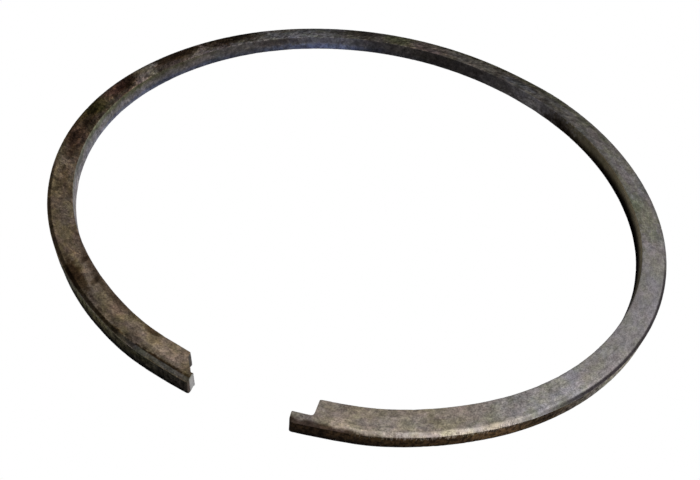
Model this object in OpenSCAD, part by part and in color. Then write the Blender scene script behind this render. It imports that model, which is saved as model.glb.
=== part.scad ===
// Pegged piston ring, lying flat on its lower face as it springs open out of its groove.
// The middle of its outline stands over the origin, its gap faces -Y and its bevelled edge is uppermost.

/* [Ring] */
// Bore of the cylinder that the ring closes into
bore_d = 65; // [50:0.5:90]
// Height of the ring, from one side face to the other
ring_h = 2; // [1.2:0.05:4]
// Thickness of the ring, from its inner face to its outer face
wall = 2.7; // [2:0.05:4]

/* [Free shape] */
// Opening between the two ends of the free ring, at its outer face
free_gap = 10.3; // [4:0.1:16]
// Opening that is left between the ends when the ring sits in its bore
butt_gap = 0.3; // [0.1:0.05:1]
// How much the bending radius grows at the back and the ends, and shrinks at the sides
oval_swing = 4.3; // [0:0.1:6]
// How much more the bending radius grows at the ends, and shrinks at the back
end_swing = 1.1; // [0:0.1:2]

/* [Peg notches] */
// Thickness of the lip that is left outside each notch
lip = 1.1; // [0.7:0.05:1.4]
// Radius in the root of each notch
root_r = 0.3; // [0.1:0.05:0.4]
// Length of the +X end's notch along the lip
right_notch_len = 1.75; // [1:0.05:3]
// Length of the +X end's notch along the inner face
right_mouth = 2.1; // [1:0.05:3.5]
// Angle by which the +X end's notch widens towards the inner face
right_flare = 10; // [1:1:45]
// Length of the -X end's notch along the lip
left_notch_len = 0.35; // [0.3:0.05:1]
// Length of the -X end's notch along the inner face
left_mouth = 1.5; // [1:0.05:3.5]
// Angle by which the -X end's notch widens towards the inner face
left_flare = 42; // [1:1:45]

/* [Edges] */
// Width of the bevel on the upper outer edge
bevel_w = 0.45; // [0.1:0.05:0.6]
// Depth of the bevel on the upper outer edge
bevel_h = 0.2; // [0.1:0.05:0.6]
// Size of the break on the other three running edges
edge_break = 0.12; // [0.05:0.01:0.3]
// Size of the break on the upright edges of the lips and notches
corner_break = 0.2; // [0.05:0.05:0.4]

/* [Hidden] */
$fn = 360;

// The outer face is a run of arcs, tangent to each other, from the back round to each end.
// Turns are measured from +Y: 0 is the back of the ring, 180 is the middle of the gap.
// Arcs meet at turns of a 3-4-5 triangle and have radii in whole hundredths, so their faces meet exactly.
step = atan2(3, 4);
turns = [0, step, 2 * step, 180 - 2 * step, 180 - step, 180];
last = len(turns) - 2;
mean_r = (PI * bore_d - butt_gap + free_gap) / (2 * PI);

// How far a cutting tool reaches past the faces that it opens
overcut = 1;

function across(turn) = [sin(turn), cos(turn)];
function in_hundredths(size) = round(100 * size) / 100;
function middle_turn(i) = (turns[i] + turns[i + 1]) / 2;
function bend_r(i) = in_hundredths(
    mean_r + oval_swing * cos(2 * middle_turn(i)) - end_swing * cos(3 * middle_turn(i)));
function bend_centre(i) =
    i == 0 ? [0, 0] : bend_centre(i - 1) + (bend_r(i - 1) - bend_r(i)) * across(turns[i]);

end_r = bend_r(last);
end_centre = bend_centre(last);
end_turn = 180 - asin((free_gap / 2 - end_centre.x) / end_r);

// The outline is centred between its back and its ends
back_y = bend_r(0);
front_y = (end_centre + end_r * across(end_turn)).y;
middle_y = (back_y + front_y) / 2;

module section(outer_r) {
    inner_r = outer_r - wall;
    polygon([
        [inner_r + edge_break, 0],
        [outer_r - edge_break, 0],
        [outer_r, edge_break],
        [outer_r, ring_h - bevel_h],
        [outer_r - bevel_w, ring_h],
        [inner_r + edge_break, ring_h],
        [inner_r, ring_h - edge_break],
        [inner_r, edge_break]
    ]);
}

// The back arc reaches as far on both sides
module arc_of_ring(i) {
    from_turn = i == 0 ? -turns[1] : turns[i];
    to_turn = turns[i + 1];
    translate(bend_centre(i))
        rotate_extrude(angle = to_turn - from_turn, start = 90 - to_turn)
            section(bend_r(i));
}

// At an end, x runs along the ring, 0 at the end face, and y is the distance from the bending centre.
// The shoulder leans back from the root of the notch until it reaches the mouth, then runs square to the lip.
module notch_outline(notch_len, mouth, flare) {
    root_y = end_r - lip;
    inner_y = end_r - wall;
    reach = max(mouth, notch_len);
    square_y = root_y - (reach - notch_len) / tan(flare);
    broken_y = inner_y + corner_break;
    broken_x = max(-reach, -notch_len - (root_y - broken_y) * tan(flare));
    fillet_at = [-notch_len + root_r * (1 - sin(flare)) / cos(flare), root_y - root_r];
    fillet_end = fillet_at - root_r * [cos(flare), -sin(flare)];
    polygon([
        [fillet_at.x, root_y],
        [overcut, root_y],
        [overcut, inner_y - overcut],
        [broken_x - corner_break - overcut, inner_y - overcut],
        [broken_x, broken_y],
        if (square_y > broken_y) [-reach, square_y],
        fillet_end
    ]);
    translate(fillet_at)
        circle(r = root_r);
}

module lip_break_outline() {
    polygon([
        [-corner_break - overcut, end_r + overcut],
        [overcut, end_r + overcut],
        [overcut, end_r - corner_break - overcut]
    ]);
}

module gap_outline() {
    translate([0, end_r - wall - overcut])
        square([free_gap, wall + 2 * overcut]);
}

module ring_end(notch_len, mouth, flare) {
    difference() {
        arc_of_ring(last);
        translate([end_centre.x, end_centre.y, -overcut])
            rotate([0, 0, -end_turn])
                linear_extrude(ring_h + 2 * overcut) {
                    gap_outline();
                    notch_outline(notch_len, mouth, flare);
                    lip_break_outline();
                }
    }
}

module piston_ring() {
    color("#6a645d")
        translate([0, -middle_y, 0]) {
            arc_of_ring(0);
            for (side = [0, 1])
                mirror([side, 0, 0])
                    for (i = [1 : last - 1])
                        arc_of_ring(i);
            ring_end(right_notch_len, right_mouth, right_flare);
            mirror([1, 0, 0])
                ring_end(left_notch_len, left_mouth, left_flare);
        }
}

piston_ring();
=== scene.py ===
"""Worn, pegged piston ring, lying flat as it springs open: its mesh, its finishes and the studio it lies in."""
import logging
import math
from dataclasses import dataclass, field
from enum import Enum
from typing import Iterable, Sequence, Union

import bmesh
import bpy
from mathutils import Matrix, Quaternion, Vector, noise


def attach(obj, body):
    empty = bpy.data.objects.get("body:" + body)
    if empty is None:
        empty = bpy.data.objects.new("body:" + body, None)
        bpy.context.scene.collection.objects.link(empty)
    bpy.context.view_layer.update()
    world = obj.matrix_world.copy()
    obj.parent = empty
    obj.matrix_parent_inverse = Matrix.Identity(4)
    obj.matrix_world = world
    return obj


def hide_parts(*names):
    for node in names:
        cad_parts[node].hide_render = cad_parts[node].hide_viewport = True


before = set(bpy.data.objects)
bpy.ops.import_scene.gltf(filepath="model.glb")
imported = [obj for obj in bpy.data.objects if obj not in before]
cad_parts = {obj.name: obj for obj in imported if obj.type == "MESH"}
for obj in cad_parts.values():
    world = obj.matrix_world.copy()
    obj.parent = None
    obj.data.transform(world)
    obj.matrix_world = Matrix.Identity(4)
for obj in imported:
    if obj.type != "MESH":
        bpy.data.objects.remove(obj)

LOG = logging.getLogger("piston_ring")
NODE = "piston_ring"
BODY = "root"
MM = 0.001

# Slack for comparing lengths in metres and turns in radians
SLACK = 1e-6
# Where each kind of wear reads the noise, away from the points where it is always 0
EDGE_SEED, EDGES_APART = 0.5, 7.3
PIT_SEED = Vector((11.0, 3.0, 5.0))
CHIP_SEED = Vector((2.0, 9.0, 4.0))

Colour = tuple[float, float, float]
Input = Union[float, Colour, bpy.types.NodeSocket]


# ---------------------------------------------------------------- the free shape


@dataclass(frozen=True)
class Bend:
    """One arc of the free ring's outer face, seen from above.

    Turns are measured from +Y towards +X: 0 is the back of the ring. `start` is how far along the outer face
    the arc begins, 0 at the back and negative on the -X side.
    """

    centre: Vector
    radius: float
    from_turn: float
    to_turn: float
    start: float

    def length(self) -> float:
        """Returns the length of the arc along the outer face."""
        return self.radius * (self.to_turn - self.from_turn)

    def depth_of(self, point: Vector) -> float:
        """Returns how far a plan point lies inside the outer face."""
        return self.radius - (point.to_2d() - self.centre).length


@dataclass
class FreeShape:
    """The oval that the ring springs open to, as a run of arcs tangent to each other."""

    bore_d: float = 65 * MM
    butt_gap: float = 0.3 * MM
    free_gap: float = 10.3 * MM
    oval_swing: float = 4.3 * MM
    end_swing: float = 1.1 * MM
    radius_step: float = 0.01 * MM
    bends: list[Bend] = field(init=False)

    def __post_init__(self) -> None:
        """Works out the arcs from one end of the ring round to the other."""
        half = self._half_arcs()
        end_centre, end_radius, _, end_turn = half[-1]
        back_y = half[0][1]
        front_y = end_centre.y + end_radius * math.cos(end_turn)
        middle = Vector((0, (back_y + front_y) / 2))
        bends: list[Bend] = []
        start = 0.0
        for centre, radius, from_turn, to_turn in half:
            bends.append(Bend(centre - middle, radius, from_turn, to_turn, start))
            start += bends[-1].length()
        mirrored = [
            Bend(Vector((-b.centre.x, b.centre.y)), b.radius, -b.to_turn, -b.from_turn, -b.start - b.length())
            for b in reversed(bends)
        ]
        self.bends = mirrored + bends

    def _half_arcs(self) -> list[tuple[Vector, float, float, float]]:
        """Works out the arcs of one half.

        Returns:
            The centre, the radius and the two turns of each arc, from the back to the +X end.
        """
        step = math.atan2(3, 4)
        turns = [0, step, 2 * step, math.pi - 2 * step, math.pi - step, math.pi]
        mean = (math.pi * self.bore_d - self.butt_gap + self.free_gap) / (2 * math.pi)
        arcs: list[tuple[Vector, float, float, float]] = []
        centre, radius = Vector((0, 0)), 0.0
        for from_turn, to_turn in zip(turns, turns[1:]):
            middle = (from_turn + to_turn) / 2
            wanted = mean + self.oval_swing * math.cos(2 * middle) - self.end_swing * math.cos(3 * middle)
            next_radius = round(wanted / self.radius_step) * self.radius_step
            if arcs:
                across = Vector((math.sin(from_turn), math.cos(from_turn)))
                centre = centre + (radius - next_radius) * across
            radius = next_radius
            arcs.append((centre, radius, from_turn, to_turn))
        centre, radius, from_turn, _ = arcs[-1]
        end_turn = math.pi - math.asin((self.free_gap / 2 - centre.x) / radius)
        arcs[-1] = (centre, radius, from_turn, end_turn)
        return arcs

    @property
    def end_bend(self) -> Bend:
        """Returns the arc that ends at the +X side of the gap."""
        return self.bends[-1]

    @property
    def half_length(self) -> float:
        """Returns the length of the outer face from the back to one end."""
        return self.end_bend.start + self.end_bend.length()

    def bend_at(self, along: float) -> Bend:
        """Returns the arc that holds a place along the outer face."""
        for bend in self.bends:
            if along <= bend.start + bend.length():
                return bend
        return self.bends[-1]

    def turn_at(self, along: float) -> float:
        """Returns the turn at a place along the outer face."""
        bend = self.bend_at(along)
        return bend.from_turn + (along - bend.start) / bend.radius

    def along_at(self, turn: float) -> float:
        """Returns how far along the outer face a turn lies."""
        for bend in self.bends:
            if turn <= bend.to_turn:
                return bend.start + (turn - bend.from_turn) * bend.radius
        return self.half_length

    def place(self, along: float, depth: float, height: float) -> Vector:
        """Turns straightened coordinates into a point of the ring.

        Args:
            along: Distance along the outer face, 0 at the back, positive towards the +X end.
            depth: Distance inwards from the outer face.
            height: Height above the lower side face.

        Returns:
            The point in the part's frame.
        """
        bend = self.bend_at(along)
        turn = self.turn_at(along)
        reach = bend.radius - depth
        return Vector((bend.centre.x + reach * math.sin(turn), bend.centre.y + reach * math.cos(turn), height))

    def straighten(self, point: Vector) -> tuple[float, float]:
        """Finds where a plan point lies on the straightened ring.

        Args:
            point: A point on or near the ring, in the part's frame.

        Returns:
            Its distance along the outer face, and its depth inside it.
        """
        for bend in self.bends:
            offset = point.to_2d() - bend.centre
            turn = math.atan2(offset.x, offset.y)
            if bend.from_turn - SLACK <= turn <= bend.to_turn + SLACK:
                return bend.start + (turn - bend.from_turn) * bend.radius, bend.radius - offset.length
        raise ValueError(f"no arc of the ring holds {point}")


# ---------------------------------------------------------------- the ring's mesh


def pull_in(point: Vector, centre: Vector, radius: float, sides: tuple[Vector, Vector]) -> Vector:
    """Rounds a corner: a point past the corner's arc moves straight in to it.

    Args:
        point: The point to round.
        centre: Centre of the arc.
        radius: Radius of the arc.
        sides: The directions that the corner's two faces look in.

    Returns:
        The point on the arc, or the point itself where it lies outside the corner.
    """
    offset = point - centre
    if offset.length <= radius or offset.dot(sides[0]) < 0 or offset.dot(sides[1]) < 0:
        return point
    return centre + offset.normalized() * radius


@dataclass
class Section:
    """The ring's cross-section, with its worn running edges."""

    wall: float = 2.7 * MM
    height: float = 2 * MM
    bevel_w: float = 0.45 * MM
    bevel_h: float = 0.2 * MM
    bevel_crown: float = 1.2
    shallow_from: float = 22 * MM
    shallow_to: float = 41 * MM
    shallow_rise: float = 9 * MM
    shallow_fall: float = 24 * MM
    shallow_share: float = 0.1
    edge_r: float = 0.13 * MM
    edge_unevenness: float = 0.35
    edge_wave: float = 1.6 * MM

    def edge_radius(self, along: float, edge: int) -> float:
        """Returns how far one running edge is worn round at a place along the ring."""
        wobble = noise.noise(Vector((along / self.edge_wave, edge * EDGES_APART, EDGE_SEED)))
        return self.edge_r * (1 + self.edge_unevenness * wobble)

    def bevelled(self, along: float, depth: float, height: float) -> float:
        """Bevels the upper outer edge, which is shallower on one stretch of the +X side.

        Args:
            along: Place along the ring.
            depth: Depth of the point inside the outer face.
            height: Height of the point above the lower face.

        Returns:
            The height of the bevelled point.
        """
        if depth >= self.bevel_w:
            return height
        before = (self.shallow_from - along) / self.shallow_rise
        after = (along - self.shallow_to) / self.shallow_fall
        away = min(1.0, max(0.0, before, after))
        share = self.shallow_share + (1 - self.shallow_share) * (1 - math.cos(math.pi * away)) / 2
        drop = share * self.bevel_h * (1 - depth / self.bevel_w) ** self.bevel_crown
        return height * (1 - drop / self.height)

    def rounded(self, along: float, depth: float, height: float) -> tuple[float, float]:
        """Rounds the three running edges that have no bevel.

        Args:
            along: Place along the ring, which sets how worn the edges are.
            depth: Depth of the point inside the outer face.
            height: Height of the point above the lower face.

        Returns:
            The depth and the height of the rounded point.
        """
        point = Vector((depth, height))
        corners = ((self.wall, self.height), (self.wall, 0.0), (0.0, 0.0))
        for edge, (at_depth, at_height) in enumerate(corners):
            radius = self.edge_radius(along, edge)
            sideways = Vector((1.0 if at_depth else -1.0, 0.0))
            upwards = Vector((0.0, 1.0 if at_height else -1.0))
            centre = Vector((at_depth, at_height)) - radius * (sideways + upwards)
            point = pull_in(point, centre, radius, (sideways, upwards))
        return point.x, point.y


@dataclass
class PegNotch:
    """The notch in one end, which straddles the locating peg, and the lip outside it.

    Its own coordinates have x along the ring, 0 at the end face and negative behind it, and y as the distance
    from the end arc's centre. The shoulder leans back from the root of the notch until it reaches the mouth,
    then runs square to the lip.
    """

    length: float
    mouth: float
    flare: float
    lip: float = 0.98 * MM
    wall: float = 2.7 * MM
    root_r: float = 0.35 * MM
    shoulder_r: float = 0.13 * MM
    lip_outer_r: float = 0.26 * MM
    lip_inner_r: float = 0.1 * MM
    run_in: float = 2.2 * MM
    rounds: int = 3

    def to_end(self, bend: Bend, along: float, depth: float) -> Vector:
        """Returns the end coordinates of a place on the end arc, given as a distance from the back."""
        behind = (bend.start + bend.length() - along) / bend.radius
        reach = bend.radius - depth
        return Vector((-reach * math.sin(behind), reach * math.cos(behind)))

    def from_end(self, bend: Bend, point: Vector) -> tuple[float, float]:
        """Returns the distance from the back, and the depth, of a point in end coordinates."""
        behind = math.atan2(-point.x, point.y)
        return bend.start + bend.length() - behind * bend.radius, bend.radius - point.length

    def root_behind(self, bend: Bend) -> float:
        """Returns how far behind the end face the shoulder meets the lip, along the outer face."""
        return math.asin(self.length / (bend.radius - self.lip)) * bend.radius

    def shoulder_x(self, bend: Bend, y: float) -> float:
        """Returns where the shoulder stands at a distance from the end arc's centre."""
        return -min(self.mouth, self.length + (bend.radius - self.lip - y) * math.tan(self.flare))

    def shoulder_behind(self, bend: Bend, depth: float) -> float:
        """Returns how far behind the end face the shoulder lies at a depth, along the outer face."""
        reach = bend.radius - depth
        y = reach
        for _ in range(self.rounds):
            y = math.sqrt(reach * reach - self.shoulder_x(bend, y) ** 2)
        return math.atan2(-self.shoulder_x(bend, y), y) * bend.radius

    def leaned(self, bend: Bend, along: float, depth: float) -> float:
        """Leans the stations next to the notch until the last one lies on the shoulder.

        Args:
            bend: The end arc.
            along: Distance of the point from the back.
            depth: Depth of the point inside the outer face.

        Returns:
            The point's new distance from the back.
        """
        root = self.root_behind(bend)
        behind = bend.start + bend.length() - along
        share = 1 - (behind - root) / self.run_in
        if depth <= self.lip or share <= 0 or behind < root - SLACK:
            return along
        return along - (self.shoulder_behind(bend, depth) - root) * min(share, 1.0)

    def rounded(self, bend: Bend, point: Vector, on_rim: bool) -> Vector:
        """Rounds the upright corners of the lip and the shoulder, and fills the notch's root with its fillet.

        Args:
            bend: The end arc.
            point: A point in end coordinates.
            on_rim: Whether the point lies on the rim of the plan, where the fillet is.

        Returns:
            The rounded point.
        """
        root_y = bend.radius - self.lip
        ahead, outwards, inwards = Vector((1, 0)), Vector((0, 1)), Vector((0, -1))

        centre = Vector((-self.lip_outer_r, bend.radius - self.lip_outer_r))
        point = pull_in(point, centre, self.lip_outer_r, (ahead, outwards))
        if point.y > root_y - self.lip_inner_r and point.x > -self.length / 2:
            centre = Vector((-self.lip_inner_r, root_y + self.lip_inner_r))
            point = pull_in(point, centre, self.lip_inner_r, (ahead, inwards))

        if point.y < root_y - self.root_r:
            corner_y = self._inner_corner_y(bend)
            centre = Vector((self.shoulder_x(bend, corner_y) - self.shoulder_r, corner_y + self.shoulder_r))
            point = pull_in(point, centre, self.shoulder_r, (ahead, inwards))

        slope = (1 - math.sin(self.flare)) / math.cos(self.flare)
        facing = Vector((math.cos(self.flare), -math.sin(self.flare)))
        centre = Vector((-self.length + self.root_r * slope, root_y - self.root_r))
        near_root = (point - Vector((-self.length, root_y))).length < 2 * self.root_r
        if on_rim and near_root:
            point = pull_in(point, centre, self.root_r, (-facing, outwards))
        return point

    def _inner_corner_y(self, bend: Bend) -> float:
        """Returns the distance of the shoulder's inner corner from the end arc's centre."""
        inner_r = bend.radius - self.wall
        return math.sqrt(inner_r * inner_r - self.shoulder_x(bend, inner_r) ** 2)


@dataclass(frozen=True)
class Nick:
    """A small dent in the upper face, at a turn in degrees and a depth.

    It reaches some way along and across the ring on each side, and leans along the ring by `slant` for each
    length across it.
    """

    turn: float
    depth: float
    along: float
    across: float
    sink: float
    slant: float = 0.0


@dataclass
class Wear:
    """How use has roughened the ring, built a crust of burnt oil on its running face and bent its ends.

    The crust lies about a turn and reaches some way on each side of it, in degrees. The bends' pairs of sizes
    are for the +X end and the -X end, and `bent_rise` is the share of the run in which an end turns inwards.
    """

    ripple: float = 0.006 * MM
    ripple_size: float = 1.1 * MM
    pitting: float = 0.014 * MM
    pit_size: float = 0.3 * MM
    pits_above: float = 0.15
    edge_chips: float = 0.06 * MM
    chip_size: float = 0.4 * MM
    chip_reach: float = 0.3 * MM
    chips_above: float = 0.25
    crust_at: float = -159.5
    crust_reach: float = 17.0
    crust_depth: float = 0.5 * MM
    crust_rise: float = 1.5 * MM
    crust_out: float = 0.175 * MM
    bent_run: float = 8.5 * MM
    bent_rise: float = 0.75
    bent_in: tuple[float, float] = (0.205 * MM, 0.19 * MM)
    bent_ahead: tuple[float, float] = (0.32 * MM, 0.16 * MM)
    nicks: Sequence[Nick] = (
        Nick(162.6, 0.75 * MM, 0.12 * MM, 0.35 * MM, 0.05 * MM, 0.3),
        Nick(163.9, 0.42 * MM, 0.16 * MM, 0.13 * MM, 0.05 * MM),
        Nick(162.0, 0.3 * MM, 0.2 * MM, 0.12 * MM, 0.04 * MM),
        Nick(-167.5, 0.55 * MM, 0.25 * MM, 0.12 * MM, 0.04 * MM, 0.4),
        Nick(-141.0, 1.45 * MM, 0.3 * MM, 0.2 * MM, 0.03 * MM, -0.5),
        Nick(118.0, 2.6 * MM, 0.5 * MM, 0.12 * MM, 0.05 * MM),
        Nick(-128.0, 2.62 * MM, 0.4 * MM, 0.12 * MM, 0.05 * MM),
    )

    def sink_at(self, lay: Vector, from_edge: float) -> float:
        """Works out how far the surface has sunk at one point, nicks left out.

        Args:
            lay: Distance along the ring, depth and height of the point.
            from_edge: Distance to the nearest running edge.

        Returns:
            The distance by which the point moves inwards.
        """
        sink = self.ripple * (1 + noise.noise(lay / self.ripple_size))
        pits = noise.noise(lay / self.pit_size + PIT_SEED)
        sink += self.pitting * max(0.0, pits - self.pits_above)
        if from_edge < self.chip_reach:
            chips = noise.noise(lay / self.chip_size + CHIP_SEED)
            sink += self.edge_chips * max(0.0, chips - self.chips_above) * (1 - from_edge / self.chip_reach)
        return sink

    def crust_on(self, turn: float, lay: Vector) -> float:
        """Returns how far burnt oil has built out the foot of the running face at a turn in degrees."""
        far = min(1.0, abs(turn - self.crust_at) / self.crust_reach)
        deep = min(1.0, lay.y / self.crust_depth)
        high = min(1.0, lay.z / self.crust_rise)
        return self.crust_out * (1 - far ** 3) * (1 - deep) * (1 - high ** 2)

    def nick_at(self, turn: float, depth: float, radius: float) -> float:
        """Returns how deep the nicks are at a turn in degrees and a depth of the upper face."""
        sink = 0.0
        for nick in self.nicks:
            across = depth - nick.depth
            along = math.radians(turn - nick.turn) * radius - nick.slant * across
            reach = math.hypot(along / nick.along, across / nick.across)
            if reach < 1:
                sink += nick.sink * (1 - reach * reach) ** 2
        return sink


@dataclass
class RingBody:
    """The dressed ring: a plan swept round the free shape, raised to its height, then bevelled and worn.

    While it is being built, `bm` is its mesh, and `lay` the layer that keeps each vertex's straightened
    coordinates: its distance along the ring, its depth and its height.
    """

    shape: FreeShape = field(default_factory=FreeShape)
    section: Section = field(default_factory=Section)
    right_notch: PegNotch = field(default_factory=lambda: PegNotch(
        length=1.85 * MM, mouth=2.0 * MM, flare=math.radians(5)))
    left_notch: PegNotch = field(default_factory=lambda: PegNotch(
        length=0.35 * MM, mouth=1.5 * MM, flare=math.radians(42), lip_outer_r=0.18 * MM))
    wear: Wear = field(default_factory=Wear)
    cell: float = 0.172 * MM
    end_cell: float = 0.1 * MM
    end_run: float = 6 * MM
    end_share: float = 0.9
    bevel_rows: int = 4
    lip_rows: int = 5
    face_rows: int = 11
    edge_rows: int = 2
    edge_band: float = 0.13 * MM
    wall_rows: int = 16
    sharp_angle: float = math.radians(50)
    bm: bmesh.types.BMesh = field(init=False)
    lay: bmesh.types.BMLayerItem = field(init=False)

    def build(self) -> bpy.types.Object:
        """Makes the ring's mesh.

        Returns:
            The ring's object, at the origin, with its straightened coordinates in the attribute "lay", in
            millimetres.
        """
        self.bm = bmesh.new()
        self._sweep_plan()
        self.lay = self.bm.verts.layers.float_vector.new("lay")
        self._shape_ends()
        self._raise_walls()
        self._shape_section()
        self.bm.normal_update()
        self._add_crust()
        self._wear_down()
        self._bend_ends()
        for vert in self.bm.verts:
            vert[self.lay] = vert[self.lay] / MM
        mesh = bpy.data.meshes.new(NODE + "_dressed")
        self.bm.to_mesh(mesh)
        self.bm.free()
        mesh.shade_smooth()
        mesh.set_sharp_from_angle(angle=self.sharp_angle)
        ring = bpy.data.objects.new("worn_" + NODE, mesh)
        bpy.context.scene.collection.objects.link(ring)
        return ring

    def _spin(self, row: list, bend: Bend, from_turn: float, to_turn: float) -> list:
        """Sweeps a row of the plan round part of an arc.

        Args:
            row: The vertices and edges of the row.
            bend: The arc to follow.
            from_turn: Turn at which the row lies.
            to_turn: Turn at which the sweep ends.

        Returns:
            The vertices and edges of the last row.
        """
        length = abs(to_turn - from_turn) * bend.radius
        cell = self.end_cell if length < self.end_run else self.cell
        made = bmesh.ops.spin(
            self.bm, geom=row, cent=bend.centre.to_3d(), axis=(0, 0, -1), angle=to_turn - from_turn,
            steps=max(1, round(length / cell)),
        )
        return made["geom_last"]

    def _lip_part(self, row: Iterable, bend: Bend) -> list:
        """Returns the vertices and edges of a row that belong to the lip."""
        deepest = self.right_notch.lip + SLACK
        verts = {v for v in row if isinstance(v, bmesh.types.BMVert) and bend.depth_of(v.co) <= deepest}
        edges = [e for e in row if isinstance(e, bmesh.types.BMEdge) and verts.issuperset(e.verts)]
        return [*verts, *edges]

    def _first_row(self, along: float) -> list:
        """Lays a row of vertices across the wall, closer together at its edges.

        Args:
            along: Place of the row along the ring.

        Returns:
            The row's vertices and edges.
        """
        section = self.section
        stops = (0.0, section.bevel_w, self.right_notch.lip, section.wall - self.edge_band, section.wall)
        rows = (self.bevel_rows, self.lip_rows, self.face_rows, self.edge_rows)
        verts = [self.bm.verts.new(self.shape.place(along, depth, 0.0)) for depth in stops]
        edges = [self.bm.edges.new(pair) for pair in zip(verts, verts[1:])]
        for edge, count in zip(edges, rows):
            bmesh.ops.subdivide_edges(self.bm, edges=[edge], cuts=count - 1)
        return self.bm.verts[:] + self.bm.edges[:]

    def _sweep_plan(self) -> None:
        """Sweeps the plan of the ring, with a full row between the notches and the lip's row past them."""
        bends = self.shape.bends
        first, last = bends[0], bends[-1]
        run = self.end_share * self.end_run / last.radius
        left_root = first.from_turn + self.left_notch.root_behind(last) / last.radius
        right_root = last.to_turn - self.right_notch.root_behind(last) / last.radius

        row = self._first_row(self.shape.along_at(left_root))
        self._spin(self._lip_part(row, first), first, left_root, first.from_turn)
        row = self._spin(row, first, left_root, left_root + run)
        row = self._spin(row, first, left_root + run, first.to_turn)
        for bend in bends[1:-1]:
            row = self._spin(row, bend, bend.from_turn, bend.to_turn)
        row = self._spin(row, last, last.from_turn, right_root - run)
        row = self._spin(row, last, right_root - run, right_root)
        self._spin(self._lip_part(row, last), last, right_root, last.to_turn)

    def _shape_ends(self) -> None:
        """Gives the notches their flare, fillets and rounded corners, and notes each vertex's place."""
        end = self.shape.end_bend
        for vert in self.bm.verts:
            along, depth = self.shape.straighten(vert.co)
            side, notch = (1, self.right_notch) if along > 0 else (-1, self.left_notch)
            if self.shape.half_length - abs(along) < self.end_run:
                from_back = notch.leaned(end, abs(along), depth)
                rounded = notch.rounded(end, notch.to_end(end, from_back, depth), vert.is_boundary)
                from_back, new_depth = notch.from_end(end, rounded)
                along = side * min(from_back, self.shape.half_length)
                vert.co = self.shape.place(along, new_depth, 0.0)
            vert[self.lay] = Vector((along, depth, 0.0))

    def _raise_walls(self) -> None:
        """Extrudes the plan to the ring's height and divides the walls, with closer rows near their edges."""
        height = self.section.height
        made = bmesh.ops.extrude_face_region(self.bm, geom=self.bm.faces[:], use_keep_orig=True)
        raised = [v for v in made["geom"] if isinstance(v, bmesh.types.BMVert)]
        bmesh.ops.translate(self.bm, verts=raised, vec=(0, 0, height))
        upright = [e for e in self.bm.edges if abs(e.verts[0].co.z - e.verts[1].co.z) > height / 2]
        bmesh.ops.subdivide_edges(self.bm, edges=upright, cuts=self.wall_rows - 1, use_grid_fill=True)
        bmesh.ops.recalc_face_normals(self.bm, faces=self.bm.faces[:])
        for vert in self.bm.verts:
            share = vert.co.z / height
            eased = (1 - math.cos(math.pi * share)) / 2
            vert.co.z = height * (share + eased) / 2
            along, depth, _ = vert[self.lay]
            vert[self.lay] = Vector((along, depth, vert.co.z))

    def _shift_inwards(self, vert: bmesh.types.BMVert, along: float, shift: float) -> None:
        """Moves a vertex square to the ring, towards its inside."""
        outwards = (vert.co.to_2d() - self.shape.bend_at(along).centre).normalized()
        vert.co -= shift * outwards.to_3d()

    def _shape_section(self) -> None:
        """Rounds the running edges and bevels the upper outer one."""
        for vert in self.bm.verts:
            along, depth, height = vert[self.lay]
            new_depth, new_height = self.section.rounded(along, depth, height)
            if new_depth != depth:
                self._shift_inwards(vert, along, new_depth - depth)
            vert.co.z = self.section.bevelled(along, depth, new_height)

    def _add_crust(self) -> None:
        """Builds out the foot of the running face with burnt oil."""
        for vert in self.bm.verts:
            at = vert[self.lay]
            crust = self.wear.crust_on(math.degrees(self.shape.turn_at(at.x)), at)
            if crust > 0:
                self._shift_inwards(vert, at.x, -crust)

    def _wear_down(self) -> None:
        """Sinks the surface by its ripples, pits, chips and nicks, along the normals it had before the crust."""
        section = self.section
        for vert in self.bm.verts:
            at = vert[self.lay]
            from_side = min(at.y, section.wall - at.y)
            from_face = min(at.z, section.height - at.z)
            sink = self.wear.sink_at(at, max(from_side, from_face))
            if at.z == section.height:
                bend = self.shape.bend_at(at.x)
                sink += self.wear.nick_at(math.degrees(self.shape.turn_at(at.x)), at.y, bend.radius)
            vert.co -= vert.normal * sink

    def _bend_ends(self) -> None:
        """Bends the last stretch of each end inwards, and draws it out into the gap."""
        wear = self.wear
        for vert in self.bm.verts:
            along = vert[self.lay].x
            share = 1 - (self.shape.half_length - abs(along)) / wear.bent_run
            if share > 0:
                end = 0 if along > 0 else 1
                rise = min(1.0, share / wear.bent_rise)
                self._shift_inwards(vert, along, wear.bent_in[end] * rise ** 2 * (3 - 2 * rise))
                turn = self.shape.turn_at(along)
                ahead = Vector((math.cos(turn), -math.sin(turn), 0.0)) * math.copysign(1, along)
                vert.co += ahead * wear.bent_ahead[end] * share ** 2


# ---------------------------------------------------------------- shader nodes


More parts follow.
